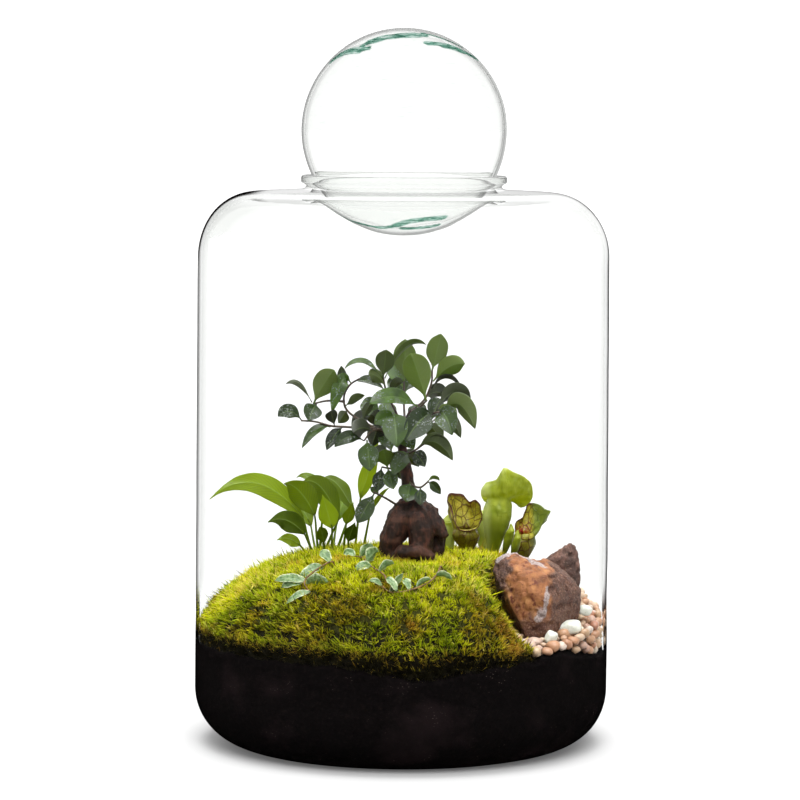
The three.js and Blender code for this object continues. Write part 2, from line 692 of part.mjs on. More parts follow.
// Creeping fig: each vine's stem as pixels along the moss, and leaves as [base, tip, width].
const VINES = {
  left: {
    stem: [[334, 562], [318, 570], [306, 582], [312, 594]],
    leaves: [
      [[325, 567], [300, 579], 8], [[307, 581], [283, 588], 9], [[308, 584], [330, 582], 10],
      [[312, 592], [288, 604], 5], [[306, 582], [276, 581], 7], [[331, 563], [321, 552], 8],
    ],
  },
  centre: {
    stem: [[386, 576], [372, 566], [364, 558], [354, 556]],
    leaves: [
      [[368, 562], [379, 551], 11], [[372, 566], [356, 571], 7], [[361, 557], [374, 546], 8],
      [[356, 556], [344, 554], 6], [[380, 571], [395, 563], 7],
    ],
  },
  front: {
    stem: [[442, 566], [437, 575], [428, 583], [410, 590], [392, 592], [382, 585]],
    leaves: [
      [[391, 592], [405, 574], 6], [[383, 586], [370, 581], 4], [[410, 590], [405, 579], 6],
      [[417, 587], [432, 579], 5], [[437, 575], [453, 579], 6], [[398, 591], [387, 578], 6],
    ],
  },
};

const VINE_LIFT = 3.6; // height of the creeper's stems over the moss
const vineRoot = (p) => p.clone().add(new THREE.Vector3(0, 0, -VINE_LIFT - 6));

// Tip of a creeper leaf: over the moss like its base, and no more than a leaf's reach before it.
function overMoss(base, px, py) {
  const reach = 6;
  const { y } = onMoss(px, py, VINE_LIFT + 1);
  return seen(px, py, THREE.MathUtils.clamp(y, base.y - reach, base.y + reach));
}

function vine({ stem, leaves }, grow = 0) {
  const along = stem.map(([px, py]) => onMoss(px, py, VINE_LIFT));
  const sunk = [vineRoot(along[0]), ...along];
  return joined([
    tube(sunk, sunk.map(() => 0.9), 5, grow),
    ...leaves.map(([foot, end, width]) => {
      const base = onMoss(...foot, VINE_LIFT);
      const tip = overMoss(base, ...end);
      return leaf({ base, tip, rise: 2, width, turn: 35, outline: CREEPER_OUTLINE }, grow);
    }),
  ]);
}

// Stones: corner points as [px, py, back] for each convex lump that they are made of.
const RUST_STONE = [
  [
    [493, 570, -50], [497, 558, -48], [506, 553, -50], [518, 552, -46], [530, 558, -44], [548, 570, -58],
    [510, 598, -66], [502, 588, -66], [521, 622, -76], [529, 640, -76], [545, 640, -78], [549, 600, -82],
    [547, 575, -76], [515, 570, -70], [530, 590, -80], [500, 600, -40], [520, 640, -36], [548, 640, -36],
    [512, 562, -26], [545, 566, -26],
  ],
  [
    [528, 558, -44], [546, 557, -40], [560, 565, -42], [572, 574, -42], [580, 586, -46], [582, 600, -46],
    [578, 620, -48], [560, 628, -66], [548, 640, -78], [549, 600, -80], [549, 572, -70], [545, 640, -30],
    [574, 625, -28], [577, 590, -24], [545, 562, -24],
  ],
];
const GREY_STONE = [
  [
    [543, 560, -12], [556, 549, -12], [566, 543, -10], [573, 541, -8], [578, 547, -8], [581, 560, -10],
    [582, 595, -12], [562, 556, -18], [562, 618, -16], [544, 616, -14], [548, 570, 10], [566, 548, 8],
    [578, 560, 8], [580, 608, 10], [550, 612, 12],
  ],
];

// grow swells a lump about its own middle, for the bed that it is pressed into.
function stone(lumps, grow = 0) {
  return joined(
    lumps.map((corners) => {
      const points = corners.map((p) => seen(...p));
      const middle = points.reduce((sum, p) => sum.add(p), new THREE.Vector3());
      middle.divideScalar(points.length);
      const swollen = points.map((p) => {
        const out = p.clone().sub(middle);
        return middle.clone().addScaledVector(out, 1 + grow / Math.max(out.length(), 20));
      });
      return solid(new ConvexGeometry(swollen));
    }),
  );
}

// Pebbles lying on top: [px, py, back, half sizes along x, y and z, turn in degrees].
const PEBBLES = {
  quartz_large: [567, 627, -62, 10.5, 6.5, 5.5, -18],
  quartz_small: [551, 636, -89, 4.6, 3.6, 4.8, 35],
  quartz_back: [585, 609, -41, 5, 4, 4, 20],
};

function pebbleShape(centre, [a, b, c], turn, detail, grow = 0) {
  const shape = new THREE.IcosahedronGeometry(1, detail);
  shape.scale(a + grow, b + grow, c + grow);
  shape.rotateZ(THREE.MathUtils.degToRad(turn));
  shape.rotateY(THREE.MathUtils.degToRad(turn / 2));
  return solid(shape.translate(centre.x, centre.y, centre.z));
}

function pebble([px, py, back, a, b, c, turn], grow = 0) {
  return pebbleShape(seen(px, py, back), [a, b, c], turn, 1, grow);
}

// The gravel: small stones half sunk in their bed, on jittered rows over the plan region.
function gravel() {
  let seed = 11;
  const random = () => {
    seed = (seed * 16807) % 2147483647;
    return seed / 2147483647;
  };
  const stones = [];
  for (let y = -104; y < 104; y += GRAVEL_SPACING)
    for (let x = MOSS_EDGE; x < PLANT_RADIUS; x += GRAVEL_SPACING) {
      const at = new THREE.Vector3(x + 4 * (random() - 0.5), y + 4 * (random() - 0.5), 0);
      const size = [0, 0, 0].map(() => 4.6 + 1.8 * random());
      const turn = 180 * random();
      const room = Math.max(...size) + 1;
      if (Math.hypot(at.x, at.y) + room > PLANT_RADIUS || at.x - room < mossEdge(at.y) + 1) continue;
      at.z = groundTop(at.x, at.y) - 2;
      stones.push(pebbleShape(at, size, turn, 0));
    }
  return joined([gravelBlock(), ...stones]);
}

// Straight hole for a stem that leaves the ground at its foot towards a point.
function socket(foot, towards, radius, depth) {
  const along = towards.clone().sub(foot).normalize();
  const ends = [-depth - 1, 12].map((d) => foot.clone().addScaledVector(along, d));
  return tube(ends, [radius, radius], 6);
}

// Assembly

const garden = new THREE.Group();
const place = (name, body, material) => garden.add(toMesh(name, body, material));

place("vessel", vessel(), materials.glass);
place("ball_lid", ball(), materials.ballGlass);

// Bodies that the ground makes room for, each a little larger than the piece itself.
const beds = [];

const fig = trunk();
place("fig_trunk", fig, materials.bark);
beds.push(trunk(SOCKET_GAP));

const taken = [trunk(GAP)];
for (const [name, shoot] of Object.entries(SHOOTS)) {
  const clear = taken.reduce((rest, other) => rest.subtract(other), spray(shoot));
  place("fig_shoot_" + name, largest(clear), materials.darkLeaf);
  taken.push(spray(shoot, GAP));
}

LILY.forEach(([foot, start, tip, rise, width, turn], i) => {
  const [low, blade] = [seen(...foot), seen(...start)];
  const base = sunkBy(low, blade, STEM_DEPTH);
  const spec = { base, start: blade, tip: seen(...tip), rise, width, turn, outline: LILY_OUTLINE };
  const clear = taken.reduce((rest, other) => rest.subtract(other), leaf(spec));
  place("lily_leaf_" + (i + 1), largest(clear), materials.freshLeaf);
  taken.push(leaf(spec, GAP));
  beds.push(socket(low, blade, 1.5 + SOCKET_GAP, STEM_DEPTH));
});

for (const [name, spec] of Object.entries(PITCHERS)) {
  const clear = taken.reduce((rest, other) => rest.subtract(other), pitcher(spec));
  const veined = name === "left" || name === "right";
  place("pitcher_" + name, largest(clear), veined ? materials.veinedPitcher : materials.pitcher);
  taken.push(pitcher({ ...spec, radius: spec.radius + GAP }));
  beds.push(pitcherHole(spec));
}

for (const [name, lumps] of [["rust", RUST_STONE], ["grey", GREY_STONE]]) {
  const clear = taken.reduce((rest, other) => rest.subtract(other), stone(lumps));
  place("stone_" + name, largest(clear), name === "rust" ? materials.rustStone : materials.greyStone);
  taken.push(stone(lumps, GAP + 0.2));
  beds.push(stone(lumps, 1.6 * SOCKET_GAP));
}

for (const [name, spec] of Object.entries(VINES)) {
  const clear = taken.reduce((rest, other) => rest.subtract(other), vine(spec));
  place("creeper_" + name, largest(clear), materials.creeper);
  taken.push(vine(spec, GAP));
  const foot = onMoss(...spec.stem[0], VINE_LIFT);
  beds.push(socket(vineRoot(foot), foot, 1.1 + SOCKET_GAP, 0));
}

for (const [name, spec] of Object.entries(PEBBLES)) {
  const clear = taken.reduce((rest, other) => rest.subtract(other), pebble(spec));
  place("pebble_" + name, largest(clear), materials.quartz);
  beds.push(pebble(spec, SOCKET_GAP));
}

const earth = soil();
const lifted = earth.translate([0, 0, GAP]);
const hollowed = (body) => largest(beds.reduce((rest, bed) => rest.subtract(bed), body));
place("soil", hollowed(earth), materials.soil);
place("moss", hollowed(mossBlock().subtract(lifted)), materials.moss);
place("gravel", hollowed(gravel().subtract(lifted)), materials.gravel);

export default garden;
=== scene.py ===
import math

import bmesh
import bpy
import numpy as np
from mathutils import Matrix, Vector
from mathutils.bvhtree import BVHTree


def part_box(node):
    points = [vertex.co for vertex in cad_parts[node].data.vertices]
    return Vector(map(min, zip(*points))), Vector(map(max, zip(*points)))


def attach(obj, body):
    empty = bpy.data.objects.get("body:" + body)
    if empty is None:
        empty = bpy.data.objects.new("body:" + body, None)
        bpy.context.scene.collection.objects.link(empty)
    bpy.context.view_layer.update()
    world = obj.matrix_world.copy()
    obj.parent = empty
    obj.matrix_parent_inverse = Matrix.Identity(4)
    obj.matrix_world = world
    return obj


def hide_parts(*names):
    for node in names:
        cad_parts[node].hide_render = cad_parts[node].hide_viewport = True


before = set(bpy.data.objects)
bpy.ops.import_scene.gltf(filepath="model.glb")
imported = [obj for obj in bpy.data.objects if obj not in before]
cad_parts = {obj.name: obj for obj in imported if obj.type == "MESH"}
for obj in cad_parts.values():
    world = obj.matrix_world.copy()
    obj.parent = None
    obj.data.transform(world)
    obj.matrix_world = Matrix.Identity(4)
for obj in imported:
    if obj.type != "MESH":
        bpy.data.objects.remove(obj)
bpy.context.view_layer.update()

MM = 0.001
TAU = 2 * math.pi

# Driving dimensions of the glass, as in the solids
WALL = 3.2
FOOT_RADIUS = 110
FLOOR = 5
LOW_RADIUS = 151
HIGH_RADIUS = 149.4
BASE_CORNER = 41
SHOULDER_Z = 356
SHOULDER_ACROSS = 42
SHOULDER_RISE = 46.5
NECK_RADIUS = 70.8
LIP_RADIUS = 74.6
LIP_TOP = 414.4
SEAT_RADIUS = 66.2
SEAT_Z = 411.6
BALL_RADIUS = 74.5
BALL_WALL = 2.6
VENT_RADIUS = 1.9
GAP = 0.3
BALL_Z = SEAT_Z + math.sqrt((BALL_RADIUS + GAP) ** 2 - SEAT_RADIUS**2)

# Driving dimensions of the planting, as in the solids
CROWN_Z = 137
EDGE_DROP = 47
PLANT_RADIUS = 146
MOSS_DEPTH = 12
STEM_DEPTH = 7
TWIG_RADIUS = 0.9
MOSS_EDGE = 88
MOSS_BAY = {"depth": 18, "y": -60, "width": 35}
MOSS_BULGE = {"depth": 12, "y": 15, "width": 40}
GRAVEL_Z = 86
GRAVEL_FRONT = -97
GRAVEL_RISE = 0.13
GRAVEL_DEPTH = 5
VINE_LIFT = 3.6
VINE_RISE = 2
VINE_TURN = 35

# Values that only the drawn pieces have
GLASS_SEGMENTS = 192
BALL_RINGS = 130
SOIL_SEGMENTS = 288
SOIL_RIM_Z = 90
SOIL_PRESS = 1.2  # how far the soil runs into the glass, so that no air shows between them
PLANT_PRESS = 1.4  # how far past the planting's radius the moss leaves reach, to meet the glass
TRUNK_DIP = {"x": 10, "y": -26, "depth": 4}  # in the moss, so that the trunk's foot shows
WET_WIDTH = 10  # the width from which a fig leaf holds drops
DROPS = 7
STALK_RADII = (1.35, 0.55)
VINE_RADII = (0.75, 0.45)

# Where random draws start. Each shoot, leaf, vine or white pebble adds its own number.
SEEDS = {"moss": 5, "gravel": 17, "white_pebbles": 60, "fig": 200, "lily": 300, "creeper": 400}

# The front view that positions were read from, in pixels, mm and radians
VIEW = {"axis_x": 402.7, "middle": 400, "focal": 3510, "distance": 2550, "height": 472, "tilt": 0.08646}
VIEW_ROLL = math.radians(0.35)
SENSOR = 36.0
FRAME_PIXELS = 800


def seen(px, py, back):
    """Where a point of the front view lies, at a distance behind the vessel's axis."""
    drop = VIEW["tilt"] + math.atan((py - VIEW["middle"]) / VIEW["focal"])
    away = VIEW["distance"] + np.asarray(back, float)
    depth = away * (math.cos(VIEW["tilt"]) + math.tan(drop) * math.sin(VIEW["tilt"]))
    x = (px - VIEW["axis_x"]) * depth / VIEW["focal"]
    return np.stack([x, away - VIEW["distance"], VIEW["height"] - away * math.tan(drop)], axis=-1)


def smoothstep(low, high, v):
    t = np.clip((v - low) / (high - low), 0, 1)
    return t * t * (3 - 2 * t)


def lerp(a, b, t):
    return a + (b - a) * t


def unit(vectors):
    vectors = np.asarray(vectors, float)
    length = np.linalg.norm(vectors, axis=-1, keepdims=True)
    return vectors / np.maximum(length, 1e-9)


def waves(points, size, seed, count=20):
    """Smooth noise of about unit height: plane waves near one length in random directions."""
    rng = np.random.default_rng(seed)
    ways = unit(rng.normal(size=(count, 3))) * TAU / size * rng.uniform(0.6, 1.5, (count, 1))
    return np.sin(points @ ways.T + rng.uniform(0, TAU, count)).sum(axis=-1) / math.sqrt(count / 2)


def smooth_curve(points, steps):
    """Points along a smooth line through the given ones, steps for each stretch between two."""
    points = np.asarray(points, float)
    ends = np.vstack([2 * points[0] - points[1], points, 2 * points[-1] - points[-2]])
    t = np.linspace(0, 1, steps, endpoint=False)[:, None]
    pieces = []
    for a, b, c, d in zip(ends, ends[1:], ends[2:], ends[3:]):
        pieces.append(0.5 * (2 * b + (c - a) * t + (2 * a - 5 * b + 4 * c - d) * t**2
                             + (3 * b - a - 3 * c + d) * t**3))
    return np.vstack(pieces + [points[-1:]])


def near_line(points, line, width):
    """1 on a line, fading to 0 at a distance from it."""
    far = np.min(np.linalg.norm(points[:, None] - line[None], axis=2), axis=1)
    return 1 - smoothstep(0.3 * width, width, far)


# The ground, by the same formulas as the solids but for the dip before the trunk

def bell(v, width):
    return np.exp(-((v / width) ** 2))


def moss_edge(y):
    bay = MOSS_BAY["depth"] * bell(y - MOSS_BAY["y"], MOSS_BAY["width"])
    return MOSS_EDGE - bay + MOSS_BULGE["depth"] * bell(y - MOSS_BULGE["y"], MOSS_BULGE["width"])


def ground_top(x, y):
    mound = CROWN_Z - EDGE_DROP * np.minimum(1, np.hypot(x, y) / PLANT_RADIUS) ** 4
    pebbles = GRAVEL_Z + GRAVEL_RISE * (y - GRAVEL_FRONT)
    return lerp(mound, pebbles, smoothstep(-25, 8, x - moss_edge(y)))


def soil_top(x, y):
    dip = 9 * bell(x - 15, 40) * smoothstep(100, PLANT_RADIUS, -y)
    wedge = 0.55 * np.maximum(0, x - 112)
    depth = lerp(MOSS_DEPTH + dip, GRAVEL_DEPTH + wedge, smoothstep(-14, 0, x - moss_edge(y)))
    return ground_top(x, y) - depth


def moss_relief(x, y):
    bent_x = x * 0.29 + 1.3 * np.sin(y * 0.21)
    bent_y = y * 0.27 + 1.1 * np.sin(x * 0.17)
    return 1.7 * np.sin(bent_x) * np.sin(bent_y) + 0.8 * np.sin(x * 0.57 + y * 0.43)


def moss_top(x, y):
    before_trunk = np.exp(-(((x - TRUNK_DIP["x"]) / 24) ** 2) - ((y - TRUNK_DIP["y"]) / 18) ** 2)
    return ground_top(x, y) + moss_relief(x, y) - TRUNK_DIP["depth"] * before_trunk


def on_moss(px, py, lift):
    """The first point of the moss that the front view shows at a pixel, raised by lift."""
    points = seen(px, py, np.arange(-PLANT_RADIUS, PLANT_RADIUS, 0.5))
    under = points[:, 2] <= moss_top(points[:, 0], points[:, 1]) + lift
    return points[np.argmax(under)]


# Meshes

class Skin:
    """Collects the surfaces of one piece: points, faces, and for each point its u, v and look.

    look is three numbers that the piece's material reads. kind says which of its materials a face has."""

    def __init__(self):
        self.points, self.faces, self.uv, self.look, self.kinds = [], [], [], [], []
        self.count = 0

    def add(self, points, faces, uv=None, look=(0.5, 0, 0), kind=0):
        points = np.asarray(points, float).reshape(-1, 3)
        n = len(points)
        self.points.append(points)
        self.faces += [tuple(i + self.count for i in face) for face in faces]
        self.uv.append(np.zeros((n, 2)) if uv is None else np.asarray(uv, float).reshape(-1, 2))
        self.look.append(np.broadcast_to(np.asarray(look, float), (n, 3)))
        self.kinds += [kind] * len(faces)
        self.count += n

    def loft(self, rows, uv=None, look=(0.5, 0, 0), kind=0):
        """A closed skin over rings of points, with a pole at the middle of each end ring."""
        rows = np.asarray(rows, float)
        count, around = rows.shape[:2]
        ends = rows[[0, -1]].mean(axis=1)
        points = np.vstack([rows.reshape(-1, 3), ends])
        if uv is None:
            u, v = np.meshgrid(np.linspace(0, 1, around), np.linspace(0, 1, count))
            uv = np.stack([u, v], axis=-1)
        uv = np.asarray(uv, float)
        uv = np.vstack([uv.reshape(-1, 2), uv[[0, -1]].mean(axis=1)])
        look = np.broadcast_to(np.asarray(look, float), (count, around, 3))
        look = np.vstack([look.reshape(-1, 3), look[[0, -1]].mean(axis=1)])
        faces = []
        for i in range(count - 1):
            for j in range(around):
                k = (j + 1) % around
                faces.append((i * around + j, i * around + k, (i + 1) * around + k, (i + 1) * around + j))
        first, last, start = len(points) - 2, len(points) - 1, (count - 1) * around
        for j in range(around):
            k = (j + 1) % around
            faces.append((first, k, j))
            faces.append((last, start + j, start + k))
        self.add(points, faces, uv, look, kind)

    def tube(self, path, radii, sides, look, kind=0):
        """A round tube along a path, with a radius for each of its points."""
        path = np.asarray(path, float)
        along = unit(np.gradient(path, axis=0))
        rough = np.array([0, 1, 0]) if abs(along[len(path) // 2, 2]) > 0.8 else np.array([0, 0, 1])
        u = unit(np.cross(rough, along))
        v = np.cross(along, u)
        turn = np.linspace(0, TAU, sides, endpoint=False)[None, :, None]
        out = np.cos(turn) * u[:, None] + np.sin(turn) * v[:, None]
        self.loft(path[:, None] + out * np.asarray(radii, float).reshape(-1, 1, 1), None, look, kind)

    def mesh(self, name, materials, smooth=True, tidy=True):
        mesh = bpy.data.meshes.new(name)
        points = np.vstack(self.points)
        mesh.from_pydata((points * MM).tolist(), [], self.faces)
        for material in materials:
            mesh.materials.append(material)
        mesh.polygons.foreach_set("material_index", self.kinds)
        mesh.polygons.foreach_set("use_smooth", [smooth] * len(mesh.polygons))
        corner = np.zeros(len(mesh.loops), int)
        mesh.loops.foreach_get("vertex_index", corner)
        layer = mesh.uv_layers.new(name="UVMap")
        layer.data.foreach_set("uv", np.vstack(self.uv)[corner].ravel())
        set_look(mesh, np.vstack(self.look))
        if tidy:
            work = bmesh.new()
            work.from_mesh(mesh)
            bmesh.ops.recalc_face_normals(work, faces=work.faces)
            work.to_mesh(mesh)
            work.free()
        mesh.update()
        return mesh


def piece(name, mesh, slot, *nodes):
    """A finished mesh as a piece of the part, which stands for the given solids."""
    made = bpy.data.objects.new(name, mesh)
    bpy.context.scene.collection.objects.link(made)
    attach(made, "root")
    if nodes:
        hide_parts(*nodes)


def per_vertex(mesh, key):
    found = np.zeros(len(mesh.vertices) * 3)
    mesh.vertices.foreach_get(key, found)
    return found.reshape(-1, 3)


def mesh_points(mesh):
    return per_vertex(mesh, "co") / MM


def remeshed(node, name, voxel, rounds):
    """A finer copy of a solid's mesh, in even faces, with its corners rounded by smoothing."""
    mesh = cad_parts[node].data.copy()
    work = bmesh.new()
    work.from_mesh(mesh)
    bmesh.ops.remove_doubles(work, verts=work.verts, dist=0.01 * MM)
    work.to_mesh(mesh)
    work.free()
    holder = bpy.data.objects.new(name, mesh)
    bpy.context.scene.collection.objects.link(holder)
    even = holder.modifiers.new("even", "REMESH")
    even.mode = "VOXEL"
    even.voxel_size = voxel * MM
    soft = holder.modifiers.new("soft", "SMOOTH")
    soft.factor = 0.5
    soft.iterations = rounds
    graph = bpy.context.evaluated_depsgraph_get()
    final = bpy.data.meshes.new_from_object(holder.evaluated_get(graph))
    final.name = name
    bpy.data.objects.remove(holder)
    final.materials.clear()
    final.polygons.foreach_set("use_smooth", [True] * len(final.polygons))
    return final


def displaced(mesh, heights):
    """Moves each point of a mesh along its normal by its height."""
    points = mesh_points(mesh) + per_vertex(mesh, "normal") * heights[:, None]
    mesh.vertices.foreach_set("co", (points * MM).ravel())
    mesh.update()


def set_look(mesh, look):
    made = mesh.attributes.new("look", "FLOAT_COLOR", "POINT")
    made.data.foreach_set("color", np.hstack([look, np.ones((len(look), 1))]).ravel())


def unit_ball(detail):
    """Points and faces of a ball of even triangles."""
    work = bmesh.new()
    bmesh.ops.create_icosphere(work, subdivisions=detail, radius=1)
    work.verts.index_update()
    points = np.array([v.co[:] for v in work.verts])
    faces = [tuple(v.index for v in face.verts) for face in work.faces]
    work.free()
    return points, faces


# Shader nodes

class Value:
    """What one node puts out. Sums, differences and products of it are further nodes."""

    def __init__(self, shader, socket):
        self.shader = shader
        self.socket = socket

    def __add__(self, other):
        return self.shader.maths("ADD", self, other)

    def __sub__(self, other):
        return self.shader.maths("SUBTRACT", self, other)

    def __rsub__(self, other):
        return self.shader.maths("SUBTRACT", other, self)

    def __mul__(self, other):
        return self.shader.maths("MULTIPLY", self, other)


class Shader:
    """The node tree of a world or of a new, named material, with short ways to make its nodes."""

    def __init__(self, owner):
        self.owner = bpy.data.materials.new(owner) if isinstance(owner, str) else owner
        self.owner.use_nodes = True
        self.tree = self.owner.node_tree
        self.tree.nodes.clear()

    def node(self, kind, inputs=None, **settings):
        """Makes a node, and gives what it puts out by number and by name."""
        made = self.tree.nodes.new("ShaderNode" + kind)
        for key, value in settings.items():
            setattr(made, key, value)
        for key, value in (inputs or {}).items():
            if isinstance(value, Value):
                self.tree.links.new(value.socket, made.inputs[key])
            elif made.inputs[key].type == "RGBA":
                made.inputs[key].default_value = (*value[:3], 1)
            else:
                made.inputs[key].default_value = value
        outputs = [Value(self, socket) for socket in made.outputs]
        return {value.socket.name: value for value in outputs} | dict(enumerate(outputs))

    def place(self, system="Object"):
        """x, y and z of the point in m, or u and v for UV, or a direction for Generated in a world."""
        parts = self.node("SeparateXYZ", {0: self.node("TexCoord")[system]})
        return parts[0], parts[1], parts[2]

    def look(self):
        parts = self.node("SeparateColor", {0: self.node("Attribute", attribute_name="look")["Color"]})
        return parts[0], parts[1], parts[2]

    def scaled(self, size, stretch):
        """Where a texture is read, and its scale for marks of about that size in mm."""
        place = self.node("TexCoord")["Object"]
        vector = self.node("Mapping", {"Vector": place, "Scale": stretch})[0]
        return {"Vector": vector, "Scale": 1 / (size * MM)}

    def noise(self, size, detail, rough=0.55, stretch=(1, 1, 1)):
        inputs = {**self.scaled(size, stretch), "Detail": detail, "Roughness": rough}
        return self.node("TexNoise", inputs)[0]

    def cells(self, size, stretch=(1, 1, 1), feature="F1"):
        """How far the point is from the nearest of many scattered ones, or from the cells' edges."""
        return self.node("TexVoronoi", self.scaled(size, stretch), feature=feature)["Distance"]

    def maths(self, operation, a, b=0.0, clamp=False):
        return self.node("Math", {0: a, 1: b}, operation=operation, use_clamp=clamp)[0]

    def larger(self, a, b):
        return self.maths("MAXIMUM", a, b)

    def step(self, value, low, high):
        """0 below low, 1 above high, smooth between."""
        inputs = {"Value": value, "From Min": low, "From Max": high}
        return self.node("MapRange", inputs, interpolation_type="SMOOTHSTEP")[0]

    def ramp(self, value, *stops):
        made = self.node("ValToRGB", {0: value})[0]
        elements = made.socket.node.color_ramp.elements
        while len(elements) < len(stops):
            elements.new(0.5)
        for element, (at, colour) in zip(elements, stops):
            element.position = at
            element.color = (*colour, 1)
        return made

    def mix(self, share, a, b, blend="MIX"):
        return self.node("Mix", {0: share, 6: a, 7: b}, data_type="RGBA", blend_type=blend)[2]

    def bump(self, height, depth):
        """depth is the height in mm of the bumps where height goes from 0 to 1."""
        return self.node("Bump", {"Height": height, "Distance": depth * MM})[0]

    def surface(self, colour, rough, shine=0.5, **others):
        inputs = {"Base Color": colour, "Roughness": rough, "Specular IOR Level": shine}
        inputs.update((key.replace("_", " "), value) for key, value in others.items())
        return self.node("BsdfPrincipled", inputs)[0]

    def blend(self, share, a, b):
        return self.node("MixShader", {0: share, 1: a, 2: b})[0]

    def done(self, surface, share=None, glow=None):
        """Finishes the material. A share of it, if given, lets light through in the glow's colour."""
        if share:
            surface = self.blend(share, surface, self.node("BsdfTranslucent", {"Color": glow})[0])
        self.node("OutputMaterial", {"Surface": surface})
        return self.owner


def rgb(*screen):
    """A colour given as screen values from 0 to 255, in linear light."""
    return tuple(((c / 255 + 0.055) / 1.055) ** 2.4 if c > 10 else c / 255 / 12.92 for c in screen)


LIGHT = {
    "front": 0.3, "back": 1.2, "above": 1.0, "seen": 1.24,
    "floor": 0.1, "softbox": 3.0, "overhead": 2.6,
}
FLOOR_GREY = 0.385

# Painted edge shade of the glass, set apart for its left and right: how far it turns away, and its share of
# light.
LIP_EDGE_SHADE = [(0.3, 0.98), (0.6, 0.93), (0.8, 0.7), (1.0, 0.32)]
INSIDE_EDGE_SHADE = [(0.7, 1), (1.0, 0.96)]
GLASS_EDGE_SHADE = {
    "vessel": [
        [(0.25, 0.97), (0.4, 0.91), (0.61, 0.91), (0.72, 0.87), (0.81, 0.82), (0.845, 0.7), (0.875, 0.48),
         (1.0, 0.33)],
        [(0.3, 0.96), (0.5, 0.91), (0.68, 0.9), (0.76, 0.86), (0.84, 0.8), (0.87, 0.62), (0.9, 0.32),
         (1.0, 0.21)],
    ],
    "ball": [
        [(0.3, 0.93), (0.5, 0.9), (0.62, 0.86), (0.7, 0.8), (0.76, 0.7), (0.79, 0.58), (0.83, 0.33),
         (1.0, 0.25)],
        [(0.3, 0.93), (0.6, 0.88), (0.7, 0.82), (0.735, 0.6), (0.78, 0.3), (0.83, 0.5), (1.0, 0.52)],
    ],
    "lip": [LIP_EDGE_SHADE, LIP_EDGE_SHADE],
    "inside": [INSIDE_EDGE_SHADE, INSIDE_EDGE_SHADE],
}
GLASS_IOR = {"vessel": 1.45, "ball": 1.45, "lip": 1.2, "inside": 1.45}
GLASS_GREY = (0.995, 0.998, 0.994)

# Where looks change, each from none of the change to all of it. Places are in metres.
ZONES = {
    "moss_low": (0.112, 0.09), "hood_left": (0.0675, 0.0615), "wing": (0.0945, 0.0995),
    "right": (-0.12, 0.12), "left_edge": (-0.098, -0.115), "left_shoulder": (0.345, 0.38),
    "shoulder": (0.345, 0.385), "crown": (0.39, 0.402), "above_soil": (0.1, 0.125),
    "outline": (0.72, 0.8), "mirror": (0.86, 0.98),
}

# Moss: how many places are tried on the mound and its rim, the leaves of one tuft, how far they fan,
# how much longer the tall ones are, and the room that is kept round other things.
TUFTS = {
    "tries": 13500, "rim": 4200, "leaves": 9, "half_width": 0.46, "length": (3.6, 6.6),
    "fan": (0.3, 0.75), "tall": 1.8, "room": 1.2,
}
# Solids that the tufts keep clear of
ROOTED = ["fig_trunk", "stone_rust", "stone_grey", "pitcher_tall", "pitcher_left", "pitcher_right"]

# Plants, as pixels of the front view and distances behind the vessel's axis in mm. They are as in the
# solids, but for one leaf of the centre_left shoot.

